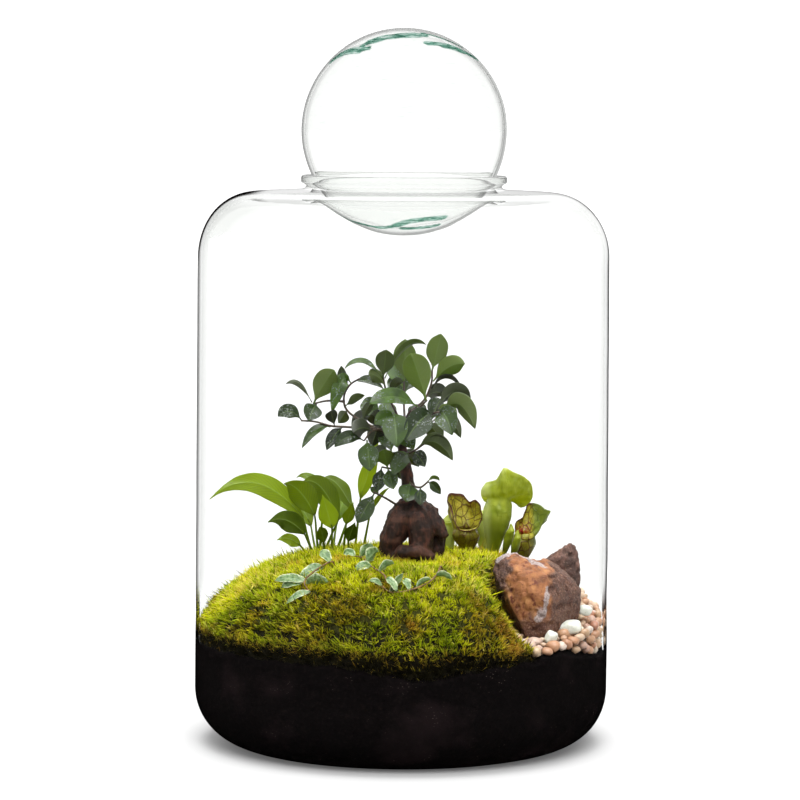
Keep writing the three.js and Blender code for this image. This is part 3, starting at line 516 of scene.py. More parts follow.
# Leafy shoots of the fig: points of the twig (px, py, back); leaves (base, tip, rise, width, turn).
SHOOTS = {
    "lower_left": (
        [(376, 429, 3), (345, 427, 0), (331, 426, -2), (316, 422, -3), (301, 421, -4)],
        [((343, 427, 0), (327, 450, -8), 2, 9, 20), ((331, 427, -2), (302, 448, -8), 5, 8, 40),
         ((335, 426, -1), (330, 411, -12), 1, 9, 10), ((302, 421, -4), (278, 417, -6), 5, 11, 25)]),
    "upper_left": (
        [(375, 428, 5), (358, 419, 8), (346, 409, 9), (344, 396, 8), (350, 385, 6), (359, 379, 5)],
        [((347, 410, 9), (339, 423, 16), 0, 9, 15), ((345, 406, 9), (364, 395, 14), 0, 9, 45),
         ((351, 384, 6), (332, 413, -3), 12, 11, 0), ((344, 397, 8), (341, 366, 6), 0, 8, 10),
         ((362, 421, 8), (372, 403, 5), 2, 7, 10)]),
    "far_left": (
        [(345, 402, 9), (328, 401, 8), (314, 404, 4)],
        [((314, 404, 4), (334, 370, -4), 2, 17, 0), ((312, 403, 6), (286, 385, 2), 7, 5, 40),
         ((317, 404, 5), (309, 421, -6), 1, 14, 0)]),
    "middle_left": (
        [(397, 439, 0), (384, 430, -8), (372, 431, -11), (364, 441, -13)],
        [((372, 431, -11), (353, 433, -24), 3, 14, 0), ((364, 441, -13), (335, 447, -17), 5, 10, 25),
         ((367, 440, -13), (370, 471, -22), 1, 15, 0), ((382, 430, -9), (371, 414, -22), 2, 12, 0)]),
    "centre_left": (
        [(404, 428, 2), (394, 408, 1), (386, 391, 0), (383, 377, -2)],
        [((385, 386, -1), (368, 375, -8), 3, 11, 20), ((386, 391, 0), (356, 380, 8), 3, 9, 50),
         ((383, 379, -2), (344, 368, -8), 8, 8, 65), ((383, 377, -2), (386, 349, -12), 0, 14, 0),
         ((384, 378, -2), (426, 343, -2), 10, 7, 45), ((389, 397, 1), (403, 381, -10), 4, 8, 30)]),
    "crown_back": (
        [(405, 423, 2), (404, 402, 12), (404, 381, 15)],
        [((404, 381, 15), (405, 339, 13), 0, 17, 0), ((404, 399, 13), (386, 383, 22), 4, 12, 20),
         ((404, 390, 14), (391, 361, 28), 2, 14, 0), ((404, 394, 14), (421, 366, 28), 2, 14, 0)]),
    "crown_front": (
        [(411, 412, 2), (420, 407, -7), (427, 400, -11)],
        [((426, 400, -11), (410, 353, -26), 2, 20, 0), ((419, 407, -7), (369, 403, -23), 6, 14, 40)]),
    "crown_right": (
        [(411, 411, 2), (424, 400, 6), (431, 384, 7), (432, 370, 6)],
        [((432, 370, 6), (441, 333, 4), 0, 16, 0), ((433, 381, 7), (465, 363, 2), 4, 15, 10),
         ((431, 388, 7), (461, 386, 0), 7, 8, 60), ((425, 398, 7), (446, 396, 22), 4, 13, 20)]),
    "right": (
        [(405, 423, 2), (425, 417, -5), (436, 412, -9), (444, 412, -7)],
        [((434, 412, -9), (406, 441, -34), 4, 19, 0), ((443, 412, -7), (476, 428, -14), 12, 16, 25),
         ((439, 412, -8), (452, 434, -26), 5, 17, 0), ((444, 412, -7), (461, 437, 3), 3, 9, 0),
         ((436, 411, -8), (471, 402, 2), 11, 14, 30)]),
    "front": (
        [(401, 440, 0), (395, 426, -12), (393, 413, -18)],
        [((393, 413, -18), (397, 447, -36), 4, 19, 0), ((394, 421, -15), (375, 424, -30), 3, 13, 0),
         ((397, 431, -9), (414, 449, -26), 3, 13, 0)]),
    "middle_right": (
        [(404, 455, 0), (414, 451, -5), (425, 443, -7)],
        [((425, 443, -7), (450, 446, -10), 5, 7, 55), ((418, 448, -6), (453, 460, -13), 9, 13, 20),
         ((414, 451, -5), (425, 466, -16), 1, 11, 0), ((410, 453, -3), (393, 475, -21), 3, 12, 10)]),
    "low_left": (
        [(406, 469, -1), (394, 469, -5), (382, 467, -6)],
        [((382, 467, -6), (378, 491, -10), 0, 10, 10), ((388, 468, -6), (394, 489, -15), 0, 11, 0),
         ((388, 468, -6), (384, 449, -16), 0, 13, 0), ((396, 469, -4), (398, 451, -12), 0, 12, 0)]),
    "left_drop": (
        [(401, 507, -2), (386, 498, -8), (374, 492, -9)],
        [((375, 493, -9), (358, 523, -13), 0, 13, 0), ((380, 495, -9), (371, 487, -6), 0, 5, 20)]),
    "low_right": (
        [(408, 479, -1), (413, 485, -8), (421, 487, -10), (429, 481, -11)],
        [((428, 482, -11), (441, 494, -12), 2, 7, 10), ((428, 481, -11), (440, 480, -8), 2, 5, 50),
         ((421, 487, -10), (421, 505, -18), 0, 9, 0), ((411, 482, -6), (407, 501, -18), 0, 15, 0)]),
    "back_left": (
        [(399, 441, 1), (386, 428, 18), (371, 419, 30)],
        [((371, 419, 30), (352, 428, 40), 4, 13, 20), ((380, 424, 23), (372, 447, 36), 2, 13, 0),
         ((376, 422, 26), (364, 399, 36), 2, 13, 0), ((386, 428, 18), (388, 402, 34), 2, 14, 0)]),
    "back_right": (
        [(403, 432, 1), (420, 428, 18), (434, 420, 29)],
        [((434, 420, 29), (457, 417, 38), 4, 14, 20), ((428, 423, 24), (441, 442, 35), 2, 13, 0),
         ((431, 421, 27), (441, 399, 38), 2, 14, 0), ((420, 428, 18), (416, 404, 34), 2, 14, 0)]),
    "back_low": (
        [(404, 458, 0), (398, 456, 18), (389, 452, 28)],
        [((389, 452, 28), (372, 462, 37), 3, 13, 20), ((395, 455, 21), (401, 479, 34), 2, 12, 0),
         ((392, 453, 25), (385, 432, 36), 2, 14, 0), ((398, 456, 18), (419, 466, 32), 3, 13, 20)]),
}

# Peace lily leaves: foot in the moss, start of the blade, tip, rise, width, turn, how light a green.
LILY = [
    ((312, 551, 41), (303, 518, 30), (209, 501, 8), 19, 17, 15, 0.75),
    ((319, 550, 37), (315, 515, 27), (284, 484, 10), 6, 20, -10, 0.5),
    ((327, 549, 43), (339, 519, 33), (302, 484, 20), 11, 18, 15, 0.4),
    ((333, 551, 34), (333, 528, 24), (323, 495, 15), 0, 15, 0, 1),
    ((314, 553, 33), (305, 534, 21), (268, 523, 4), 6, 16, 0, 0.15),
    ((306, 552, 36), (301, 546, 28), (277, 541, 18), 3, 10, 30, 0.8),
    ((321, 549, 47), (324, 500, 55), (296, 478, 62), 8, 12, 55, 0.35),
    ((338, 550, 43), (352, 509, 45), (322, 480, 49), 8, 15, 40, 0.35),
    ((344, 551, 39), (347, 524, 31), (354, 502, 21), 0, 9, 20, 0.6),
    ((356, 549, 47), (361, 498, 43), (379, 437, 38), 0, 12, 10, 0.9),
    ((364, 550, 43), (371, 512, 36), (391, 487, 28), 3, 4, 20, 0.6),
    ((350, 552, 33), (349, 541, 25), (356, 522, 12), 0, 10, 0, 0.1),
    ((326, 553, 29), (325, 543, 22), (320, 527, 8), 2, 9, 10, 0.3),
    ((316, 549, 54), (311, 526, 66), (285, 505, 86), 8, 16, 20, 0.5),
    ((334, 549, 55), (338, 521, 70), (352, 500, 92), 8, 15, 20, 0.5),
]

# Pitchers: foot and mouth, radius of the mouth, height and spread of the hood, and where it faces.
PITCHERS = {
    "tall": ((494, 555, 30), (500, 497, 32), 10, 21, 13, 180),
    "left": ((469, 552, 36), (466, 528, 32), 9.5, 23, 2, 0),
    "behind": ((485, 552, 54), (480, 512, 57), 6.5, 8, 2, 90),
    "small": ((452, 551, 44), (448, 522, 46), 5, 7, 1, -60),
    "right": ((521, 566, 28), (526, 532, 26), 8.5, 20, 4, -25),
    "young": ((504, 557, 20), (512, 530, 10), 3.2, 3, 0, 0),
    "younger": ((513, 560, 14), (519, 537, 6), 3, 3, 0, 0),
}

# Rims of the hoods, once round from the lip: (px, py, back).
HOODS = {
    "tall": [
        (501, 498, 42), (496, 498, 41), (491, 499, 39), (488, 502, 37), (484, 499, 38), (482, 490, 36),
        (487, 482, 32), (497, 479, 27), (504, 467, 22), (514, 471, 22), (525, 476, 26), (532, 483, 31),
        (534, 493, 35), (530, 503, 38), (522, 507, 40), (515, 502, 41),
    ],
    "left": [
        (468, 531, 22), (474, 530, 24), (479, 527, 26), (482, 520, 30), (483, 511, 33), (481, 504, 36),
        (476, 499, 39), (470, 501, 42), (464, 494, 43), (457, 493, 42), (450, 493, 40), (448, 499, 36),
        (452, 506, 33), (454, 515, 29), (456, 524, 26), (461, 530, 23),
    ],
    "right": [
        (522, 538, 18), (531, 539, 17), (539, 532, 17), (544, 521, 18), (549, 512, 20), (552, 510, 25),
        (546, 508, 30), (541, 504, 33), (534, 502, 35), (529, 503, 35), (527, 509, 34), (525, 515, 33),
        (520, 519, 31), (516, 524, 28), (516, 531, 24), (518, 536, 20),
    ],
}

# Creeping fig: each vine's stem as pixels along the moss, and leaves as (base, tip, width).
VINES = {
    "left": (
        [(334, 562), (318, 570), (306, 582), (312, 594)],
        [((325, 567), (300, 579), 8), ((307, 581), (283, 588), 9), ((308, 584), (330, 582), 10),
         ((312, 592), (288, 604), 5), ((306, 582), (276, 581), 7), ((331, 563), (321, 552), 8)]),
    "centre": (
        [(386, 576), (372, 566), (364, 558), (354, 556)],
        [((368, 562), (379, 551), 11), ((372, 566), (356, 571), 7), ((361, 557), (374, 546), 8),
         ((356, 556), (344, 554), 6), ((380, 571), (395, 563), 7)]),
    "front": (
        [(442, 566), (437, 575), (428, 583), (410, 590), (392, 592), (382, 585)],
        [((391, 592), (405, 574), 6), ((383, 586), (370, 581), 4), ((410, 590), (405, 579), 6),
         ((417, 587), (432, 579), 5), ((437, 575), (453, 579), 6), ((398, 591), (387, 578), 6)]),
}

# White pebbles: px, py, back, half sizes along x, y and z, and turn in degrees.
PEBBLES = {
    "quartz_large": (567, 627, -62, 10.5, 6.5, 5.5, -18),
    "quartz_small": (551, 636, -89, 4.6, 3.6, 4.8, 35),
    "quartz_back": (585, 609, -41, 5, 4, 4, 20),
}


# Materials

def ribs(s, count, slope, rib_width, vein_width):
    """A leaf's midrib, the side veins that run out and up from it, and how far out a point is."""
    u, v, _ = s.place("UV")
    out = s.maths("ABSOLUTE", u - 0.5) * 2
    near = s.maths("ABSOLUTE", s.maths("FRACT", v * count - out * slope) - 0.5)
    return s.step(out, rib_width, 0.0), s.step(near, 0.5 - vein_width, 0.5), out


def glass(kind):
    """Clear glass that bends light, with painted shade where it is seen edge on; on the vessel more at the
    shoulder and the left, and painted lighter at the crown.

    Above the soil its outline lets light straight through, so that it mirrors no plants.
    The ball has greenish streaks at its poles."""
    s = Shader(kind + "_glass")
    x, _, z = s.place()
    right = s.step(x, *ZONES["right"])
    grazed = s.node("LayerWeight", {"Blend": 0.5})["Facing"]
    facing = grazed
    if kind == "vessel":
        # Painted shade: at the shoulder the dark edge reaches further in.
        shoulder = s.step(z, *ZONES["shoulder"])
        facing = s.maths("SUBTRACT", 1.0, (1.0 - grazed) * (shoulder * 0.5 + 1.0), True)
    sides = []
    for stops in GLASS_EDGE_SHADE[kind]:
        sides.append(s.ramp(facing, *[(at, tuple(share * c for c in GLASS_GREY)) for at, share in stops]))
    colour = s.mix(right, *sides)
    if kind == "vessel":
        # Painted shade: darker at the shoulder, mostly at the left.
        colour = s.mix(shoulder * (1.0 - right), colour, s.mix(1.0, colour, colour, "MULTIPLY"))
        # Painted lighter at the crown, less at the right.
        colour = s.mix(s.step(z, *ZONES["crown"]) * (0.65 - right * 0.2), colour, (1, 1, 1))
        # Painted shade: a dark band edge on at the left shoulder (thick is this painted band's ramp).
        left_shoulder_shade = s.step(x, *ZONES["left_edge"]) * s.step(z, *ZONES["left_shoulder"])
        thick = s.ramp(grazed, (0.86, (1, 1, 1)), (0.89, rgb(120, 120, 118)), (0.925, rgb(44, 44, 42)))
        colour = s.mix(left_shoulder_shade, colour, thick, "MULTIPLY")
    if kind == "ball":
        fibres = s.noise(3, 4, 0.65, (0.3, 0.3, 2.5))
        streak = s.step(s.look()[0] + fibres * 1.6, 0.9, 1.55)
        teal = s.ramp(fibres, (0.35, rgb(38, 92, 74)), (0.5, rgb(112, 164, 146)),
                      (0.64, rgb(206, 226, 220)))
        colour = s.mix(streak, colour, teal, "MULTIPLY")
    bumps = s.bump(s.noise(45, 2), 0.12)
    ior = GLASS_IOR[kind]
    bent = s.node("BsdfRefraction", {"Color": colour, "Roughness": 0.0, "IOR": ior, "Normal": bumps})[0]
    straight = s.node("BsdfTransparent", {"Color": colour})[0]
    share = s.step(s.node("Fresnel", {"IOR": ior, "Normal": bumps})[0], *ZONES["mirror"])
    if kind in ("vessel", "inside"):
        share = s.larger(share, s.step(grazed, *ZONES["outline"]) * s.step(z, *ZONES["above_soil"]))
    clear = s.blend(share, bent, straight)
    shadow = s.node("LightPath")["Is Shadow Ray"]
    return s.done(s.blend(shadow, clear, s.node("BsdfTransparent")[0]))


def soil_look():
    s = Shader("soil")
    grain = s.noise(2.2, 6, 0.7)
    colour = s.ramp(grain, (0.3, rgb(3, 2, 2)), (0.55, rgb(8, 6, 6)), (0.75, rgb(24, 18, 16)))
    colour = s.mix(s.step(s.noise(40, 3), 0.5, 0.7), colour, s.mix(0.5, colour, rgb(30, 22, 23)))
    patches = s.step(s.noise(20, 3), 0.55, 0.72)
    speck = s.step(s.cells(3.0, (1, 1, 1.8)), 0.2, 0.12)
    colour = s.mix(speck * patches, colour, rgb(66, 58, 54))
    return s.done(s.surface(colour, 0.9, 0.03, Normal=s.bump(grain, 1.2)))


def moss_bed_look():
    s = Shader("moss_bed")
    grain = s.noise(1.6, 6, 0.7)
    colour = s.ramp(grain, (0.35, rgb(32, 30, 8)), (0.6, rgb(58, 60, 14)), (0.8, rgb(88, 90, 24)))
    # Painted shade: darker low on the mound, towards the soil.
    low = s.step(s.place()[2], *ZONES["moss_low"])
    colour = s.mix(low, colour, rgb(18, 15, 8))
    return s.done(s.surface(colour, 0.9, 0.1, Normal=s.bump(grain, 1.5)))


def moss_look():
    """look is tone, from near black in painted shade to straw, then how brown, and how far along the leaf.
    """
    s = Shader("moss")
    tone, brown, along = s.look()
    green = s.ramp(along, (0.0, rgb(128, 134, 8)), (0.5, rgb(228, 234, 14)), (1.0, rgb(255, 252, 72)))
    deep = s.ramp(along, (0.0, rgb(72, 92, 6)), (0.5, rgb(164, 188, 12)), (1.0, rgb(226, 238, 54)))
    colour = s.mix(s.step(s.noise(26, 3), 0.36, 0.62), deep, green)
    colour = s.mix(s.step(tone, 0.78, 1.0), colour, rgb(240, 230, 120))
    rust = s.ramp(along, (0.0, rgb(72, 44, 16)), (0.5, rgb(190, 122, 44)), (1.0, rgb(246, 192, 100)))
    colour = s.mix(brown, colour, rust)
    # Painted shade: low tones go to near black.
    colour = s.mix(s.step(tone, 0.55, 0.0), colour, rgb(28, 25, 8))
    return s.done(s.surface(colour, 0.6, 0.12), 0.5, colour)


def bark_look():
    s = Shader("bark")
    grain = s.noise(3.2, 6, 0.65, (1, 1, 0.35))
    colour = s.ramp(grain, (0.3, rgb(20, 12, 9)), (0.52, rgb(42, 26, 19)), (0.72, rgb(86, 50, 38)))
    rings = s.step(s.noise(9, 3, 0.5, (0.3, 0.3, 1.6)), 0.5, 0.66)
    colour = s.mix(rings * 0.3, colour, rgb(106, 70, 56))
    pores = s.step(s.cells(2.6), 0.2, 0.08)
    colour = s.mix(pores * 0.55, colour, rgb(20, 12, 10))
    return s.done(s.surface(colour, 0.6, 0.2, Normal=s.bump(grain - pores * 0.3, 0.9)))


def twig_look():
    s = Shader("twig")
    grain = s.noise(1.4, 4, 0.6)
    colour = s.ramp(grain, (0.35, rgb(40, 30, 24)), (0.6, rgb(74, 58, 40)), (0.8, rgb(98, 92, 56)))
    return s.done(s.surface(colour, 0.6, Normal=s.bump(grain, 0.2)))


def fig_look():
    """look is tone, and whether it is the underside. Whitish specks on the upper one are painted glints of
    water films and drops.
    """
    s = Shader("fig_leaf")
    tone, under, _ = s.look()
    middle, side, _ = ribs(s, 11, 1.6, 0.09, 0.1)
    cloud = s.noise(7, 3)
    top = s.mix(tone, rgb(24, 34, 19), rgb(68, 95, 32))
    top = s.mix(s.step(cloud, 0.35, 0.75), top, rgb(34, 50, 22))
    below = s.mix(tone, rgb(38, 42, 26), rgb(88, 106, 30))
    colour = s.mix(under, top, below)
    colour = s.mix(side * 0.2, colour, rgb(78, 106, 40))
    colour = s.mix(middle * 0.5, colour, rgb(108, 134, 60))
    # Painted glints: whitish films and beads on the upper face stand for the shine of water.
    glint_film = s.step(s.noise(1.3, 3), 0.52, 0.64) * s.step(s.noise(9, 2), 0.52, 0.6)
    glint_beads = s.step(s.cells(3.1), 0.17, 0.1) * s.step(s.noise(11, 2), 0.46, 0.58)
    painted_glints = s.larger(glint_film * 0.4, glint_beads * 0.7) * s.maths("SUBTRACT", 0.85, under, True)
    colour = s.mix(painted_glints, colour, rgb(202, 212, 198))
    bumps = s.bump(side * 0.5 + middle + cloud, 0.18)
    gloss = s.surface(colour, under * 0.3 + cloud * 0.36, 0.75, Normal=bumps)
    return s.done(gloss, 0.28, s.mix(tone, rgb(38, 48, 14), rgb(150, 190, 8)))


def lily_look():
    s = Shader("lily_leaf")
    tone, under, _ = s.look()
    middle, side, _ = ribs(s, 15, 4.0, 0.1, 0.14)
    top = s.mix(tone, rgb(42, 64, 8), rgb(156, 180, 24))
    top = s.mix(s.step(s.noise(9, 3), 0.35, 0.7), top, rgb(82, 112, 20))
    colour = s.mix(under, top, s.mix(tone, rgb(70, 90, 24), rgb(132, 152, 40)))
    colour = s.mix(side * 0.3, colour, rgb(50, 80, 16))
    colour = s.mix(middle * 0.6, colour, rgb(160, 186, 92))
    gloss = s.surface(colour, 0.3, 0.3, Normal=s.bump(side * 0.6 + middle, 0.25))
    glow = s.mix(tone, rgb(92, 118, 6), rgb(240, 255, 8))
    return s.done(gloss, 0.42, s.mix(side * 0.4, glow, rgb(90, 116, 6)))


def plain_trap(s):
    """The colour, glow and net of a light green pitcher, pale at the top of its hood and at the left."""
    height = s.look()[2]
    base = s.mix(s.step(s.noise(5, 4), 0.35, 0.7), rgb(136, 150, 34), rgb(176, 186, 60))
    net = s.step(s.cells(3.2, (1, 1, 0.2), "DISTANCE_TO_EDGE"), 0.06, 0.0)
    colour = s.mix(net * 0.22, base, rgb(84, 124, 24))
    colour = s.mix(s.step(height, 0.6, 0.1), colour, rgb(70, 84, 14))
    pale = s.step(height, 0.82, 1.0) * s.step(s.noise(8, 3), 0.45, 0.65)
    pale = s.larger(pale, s.step(s.place()[0], *ZONES["hood_left"]))
    colour = s.mix(pale * 0.6, colour, rgb(206, 214, 150))
    return colour, s.mix(pale, rgb(204, 210, 30), rgb(240, 246, 110)), net


def veined_trap(s):
    """The colour, glow and net of a dark red veined pitcher. The right one's wing is green."""
    rim, throat, height = s.look()
    base = s.mix(s.step(s.noise(5, 4), 0.35, 0.7), rgb(150, 150, 36), rgb(208, 196, 70))
    base = s.mix(s.step(height, 0.6, 0.2), base, rgb(92, 90, 26))
    coarse = s.step(s.cells(5, (1, 1, 0.6), "DISTANCE_TO_EDGE"), 0.075, 0.01)
    fine = s.step(s.cells(2.2, (1, 1, 0.7), "DISTANCE_TO_EDGE"), 0.08, 0.01)
    net = s.larger(coarse, fine * 0.5)
    colour = s.mix(net * 0.85, base, rgb(74, 28, 16))
    colour = s.mix(s.step(rim, 0.1, 0.8) * s.step(s.noise(7, 3), 0.5, 0.62), colour, rgb(126, 56, 34))
    blood = throat * s.step(s.noise(1.6, 2), 0.38, 0.55)
    colour = s.mix(blood, colour, rgb(166, 36, 22))
    edge = s.step(rim, 0.6, 0.9)
    colour = s.mix(edge, colour, rgb(84, 44, 22))
    glow = s.mix(net * 0.7, rgb(214, 196, 40), rgb(96, 40, 16))
    glow = s.mix(s.larger(blood, edge), glow, rgb(104, 36, 14))
    wing = s.step(s.place()[0], *ZONES["wing"]) * 0.8
    return s.mix(wing, colour, rgb(104, 126, 48)), s.mix(wing, glow, rgb(140, 164, 44)), coarse


def trap_look(name, parts, share):
    """A pitcher's skin. look is nearness to the rim, depth in the throat, and height."""
    s = Shader(name)
    colour, glow, net = parts(s)
    gloss = s.surface(colour, 0.42, 0.45, Normal=s.bump(s.noise(5, 4) + net, 0.25))
    return s.done(gloss, share, glow)


def creeper_look():
    s = Shader("creeper_leaf")
    middle, side, out = ribs(s, 8, 2.0, 0.1, 0.1)
    rim = s.step(out + (s.noise(3, 3) - 0.5) * 1.6, 0.72, 1.0)
    base = s.mix(s.step(s.noise(2.0, 3), 0.36, 0.62), rgb(70, 104, 58), rgb(138, 162, 112))
    colour = s.mix(rim, base, rgb(208, 216, 180))
    colour = s.mix(middle * 0.5, colour, rgb(176, 200, 160))
    return s.done(s.surface(colour, 0.4, Normal=s.bump(side, 0.12)), 0.25, rgb(170, 200, 110))


def vine_stem_look():
    s = Shader("creeper_stem")
    colour = s.ramp(s.noise(2.5, 3), (0.35, rgb(66, 40, 22)), (0.65, rgb(128, 96, 48)))
    return s.done(s.surface(colour, 0.6))


def rust_stone_look():
    """look is crust, painted shade on the flanks and low down, and crack."""
    s = Shader("rust_stone")
    crust, dark, crack = s.look()
    cloud = s.noise(9, 5, 0.6)
    grain = s.noise(1.3, 5, 0.7)
    colour = s.ramp(cloud, (0.3, rgb(90, 52, 32)), (0.5, rgb(146, 92, 54)), (0.66, rgb(168, 116, 68)))
    colour = s.mix(s.step(s.noise(5, 4), 0.54, 0.64), colour, rgb(98, 46, 28))
    # Painted shade: the flanks and the low part take this darker colour.
    flank = s.ramp(grain, (0.35, rgb(32, 22, 18)), (0.54, rgb(84, 56, 46)), (0.74, rgb(164, 130, 116)))
    colour = s.mix(dark, colour, flank)
    colour = s.mix(s.step(grain, 0.55, 0.75) * 0.3, colour, rgb(190, 148, 104))
    pale = s.ramp(grain, (0.35, rgb(104, 90, 88)), (0.6, rgb(184, 172, 170)))
    shown = s.step(crust + (grain * 0.7 + s.noise(6, 3) * 0.5), 1.0, 1.45) * 0.85
    colour = s.mix(shown, colour, pale)
    colour = s.mix(crack, colour, rgb(48, 24, 16))
    return s.done(s.surface(colour, 0.62, 0.4, Normal=s.bump(grain + cloud, 0.9)))


def brown_stone_look():
    s = Shader("brown_stone")
    cloud = s.noise(10, 5, 0.6)
    grain = s.noise(1.5, 5, 0.7)
    colour = s.ramp(cloud, (0.32, rgb(52, 38, 34)), (0.5, rgb(88, 64, 56)), (0.68, rgb(120, 86, 74)))
    colour = s.mix(s.step(grain, 0.56, 0.72), colour, rgb(160, 126, 106))
    colour = s.mix(s.step(s.cells(4.5), 0.16, 0.06), colour, rgb(48, 36, 32))
    return s.done(s.surface(colour, 0.7, 0.35, Normal=s.bump(grain + cloud, 1.0)))


def pebble_look():
    s = Shader("pebble")
    base = s.ramp(s.look()[0], (0.0, rgb(190, 168, 138)), (0.25, rgb(174, 128, 96)),
                  (0.45, rgb(210, 194, 172)), (0.62, rgb(184, 144, 112)), (0.8, rgb(156, 100, 74)),
                  (1.0, rgb(224, 216, 204)))
    grain = s.noise(1.8, 4, 0.6)
    colour = s.mix(s.step(grain, 0.35, 0.75), base, s.mix(0.35, base, rgb(150, 104, 78)))
    colour = s.mix(s.step(s.noise(0.8, 2), 0.66, 0.74), colour, rgb(120, 96, 80))
    return s.done(s.surface(colour, 0.38, Normal=s.bump(grain, 0.25)), 0.12, rgb(220, 190, 160))


def quartz_look():
    s = Shader("quartz")
    cloud = s.noise(4, 4, 0.6)
    colour = s.ramp(cloud, (0.35, rgb(206, 210, 198)), (0.6, rgb(240, 240, 232)))
    colour = s.mix(s.step(s.noise(1.2, 3), 0.62, 0.72), colour, rgb(196, 186, 160))
    return s.done(s.surface(colour, 0.25, Normal=s.bump(cloud, 0.3)), 0.3, rgb(240, 244, 236))


def gravel_bed_look():
    s = Shader("gravel_bed")
    grain = s.noise(1.5, 5, 0.7)
    colour = s.ramp(grain, (0.35, rgb(40, 30, 24)), (0.65, rgb(108, 88, 70)))
    return s.done(s.surface(colour, 0.8, Normal=s.bump(grain, 0.8)))


def water_look():
    s = Shader("water")
    ripple = s.bump(s.noise(2, 2), 0.02)
    return s.done(s.surface((1, 1, 1), 0.02, IOR=1.33, Transmission_Weight=1.0, Normal=ripple))


# The glass

def arc(cx, cz, rx, rz, start, end, steps):
    """Points of a profile, (radius, z), on an ellipse round a centre, between two angles in degrees."""
    a = np.radians(np.linspace(start, end, steps + 1))
    return np.stack([cx + rx * np.cos(a), cz + rz * np.sin(a)], axis=-1)


def turned(profile, wobble, seed):
    """Rings of points round the Z axis, with the slight swells of blown glass."""
    a = np.linspace(0, TAU, GLASS_SEGMENTS, endpoint=False)
    r, z = np.asarray(profile).T
    ring = np.stack([np.outer(r, np.cos(a)), np.outer(r, np.sin(a)), np.outer(z, np.ones_like(a))], -1)
    swell = wobble * waves(ring, 90, seed, 12)
    swell = np.minimum(swell, 0)[..., None] * np.array([1, 1, 0])
    return ring + swell * unit(ring * np.array([1, 1, 0]))


def glass_kinds(skin, rings, outer, lip=None):
    """Marks the faces: 0 on the outer rings, 1 on the inner ones, 2 between the lip's two heights."""
    kinds = np.repeat((np.arange(len(rings)) >= outer).astype(int), GLASS_SEGMENTS)
    z = np.repeat(rings[:, 0, 2], GLASS_SEGMENTS)
    if lip:
        kinds[(z > lip[0]) & (z < lip[1])] = 2
    skin.kinds = kinds[:len(skin.kinds)].tolist() + [1] * (len(skin.kinds) - len(kinds))


def glass_vessel(materials):
    """A blown jar: round base corner, straight wall, round shoulder, sunk neck and a lip for the ball."""
    across = HIGH_RADIUS - SHOULDER_ACROSS
    crown_z = SHOULDER_Z + SHOULDER_RISE
    wall_low, wall_high = (LOW_RADIUS, BASE_CORNER), (HIGH_RADIUS, SHOULDER_Z)
    slope = SEAT_RADIUS / (BALL_Z - SEAT_Z)
    outer = np.vstack([
        arc(FOOT_RADIUS, BASE_CORNER, BASE_CORNER, BASE_CORNER, -90, 0, 20),
        np.linspace(wall_low, wall_high, 24)[1:-1],
        arc(across, SHOULDER_Z, SHOULDER_ACROSS, SHOULDER_RISE, 0, 90, 24),
        np.linspace((across - 12, crown_z + 0.6), (NECK_RADIUS + 4, LIP_TOP - 10.2), 7),
        [(NECK_RADIUS + 1, LIP_TOP - 9), (NECK_RADIUS, LIP_TOP - 7.6), (NECK_RADIUS + 1.6, LIP_TOP - 6)],
        arc(LIP_RADIUS - 1.4, LIP_TOP - 4.2, 1.4, 1.4, -60, 0, 4),
        arc(LIP_RADIUS - 1.6, LIP_TOP - 1.6, 1.6, 1.6, 0, 90, 6),
    ])
    inner = np.vstack([
        [(SEAT_RADIUS + 2.6, LIP_TOP), (SEAT_RADIUS + 1.9, LIP_TOP - 0.3)],
        [(SEAT_RADIUS + side, SEAT_Z + side * slope) for side in (1.1, 0, -1.1)],
        [(SEAT_RADIUS - 1.2, SEAT_Z - 3), (NECK_RADIUS - WALL - 2.2, LIP_TOP - 8.6)],
        np.linspace((NECK_RADIUS - WALL + 0.5, LIP_TOP - 12.5), (across - 14, crown_z - WALL), 7),
        arc(across, SHOULDER_Z, SHOULDER_ACROSS - WALL, SHOULDER_RISE - WALL, 90, 0, 22),
        np.linspace(wall_high, wall_low, 24)[1:-1] - (WALL, 0),
        arc(FOOT_RADIUS, BASE_CORNER, BASE_CORNER - WALL, BASE_CORNER - FLOOR, 0, -90, 16),
    ])
    skin = Skin()
    rings = turned(np.vstack([outer, inner]), 0.25, 3)
    skin.loft(rings)
    glass_kinds(skin, rings, len(outer), (LIP_TOP - 9.5, LIP_TOP + 1))
    piece("glass_vessel", skin.mesh("glass_vessel", materials), "vessel_glass", "vessel")


# Greenish streaks where the ball's glass was gathered, at its poles: (px, py), and half width in mm.
STREAKS = [
    ([(331, 60), (340, 54), (350, 51), (358, 50)], 6),
    ([(350, 51), (358, 50), (366, 48)], 4),
    ([(360, 46), (368, 42)], 4),
    ([(368, 42), (380, 38), (392, 36), (405, 35), (414, 35)], 6.8),
    ([(410, 34), (422, 35)], 5),
    ([(425, 43), (438, 44), (446, 45)], 4),
    ([(440, 45), (450, 47), (460, 51)], 5.5),
    ([(458, 50), (467, 54), (474, 58)], 4),
    ([(420, 33), (442, 39), (460, 47)], 2.2),
    ([(327, 205), (345, 216), (360, 222), (380, 226), (395, 224)], 3.4),
    ([(395, 224), (407, 220), (425, 217), (442, 215)], 4.8),
    ([(402, 227), (420, 226), (436, 223)], 4),
]


def on_ball(px, py):
    """Where the front view shows the ball's near side at a pixel, or else the place nearest to it."""
    eye = np.array([0, -VIEW["distance"], VIEW["height"]])
    centre = np.array([0, 0, BALL_Z])
    way = unit(seen(px, py, 0) - eye)
    middle = eye + way * ((centre - eye) @ way)
    off = np.linalg.norm(middle - centre)
    if off > BALL_RADIUS:
        return centre + (middle - centre) * BALL_RADIUS / off
    return middle - way * math.sqrt(BALL_RADIUS**2 - off**2)


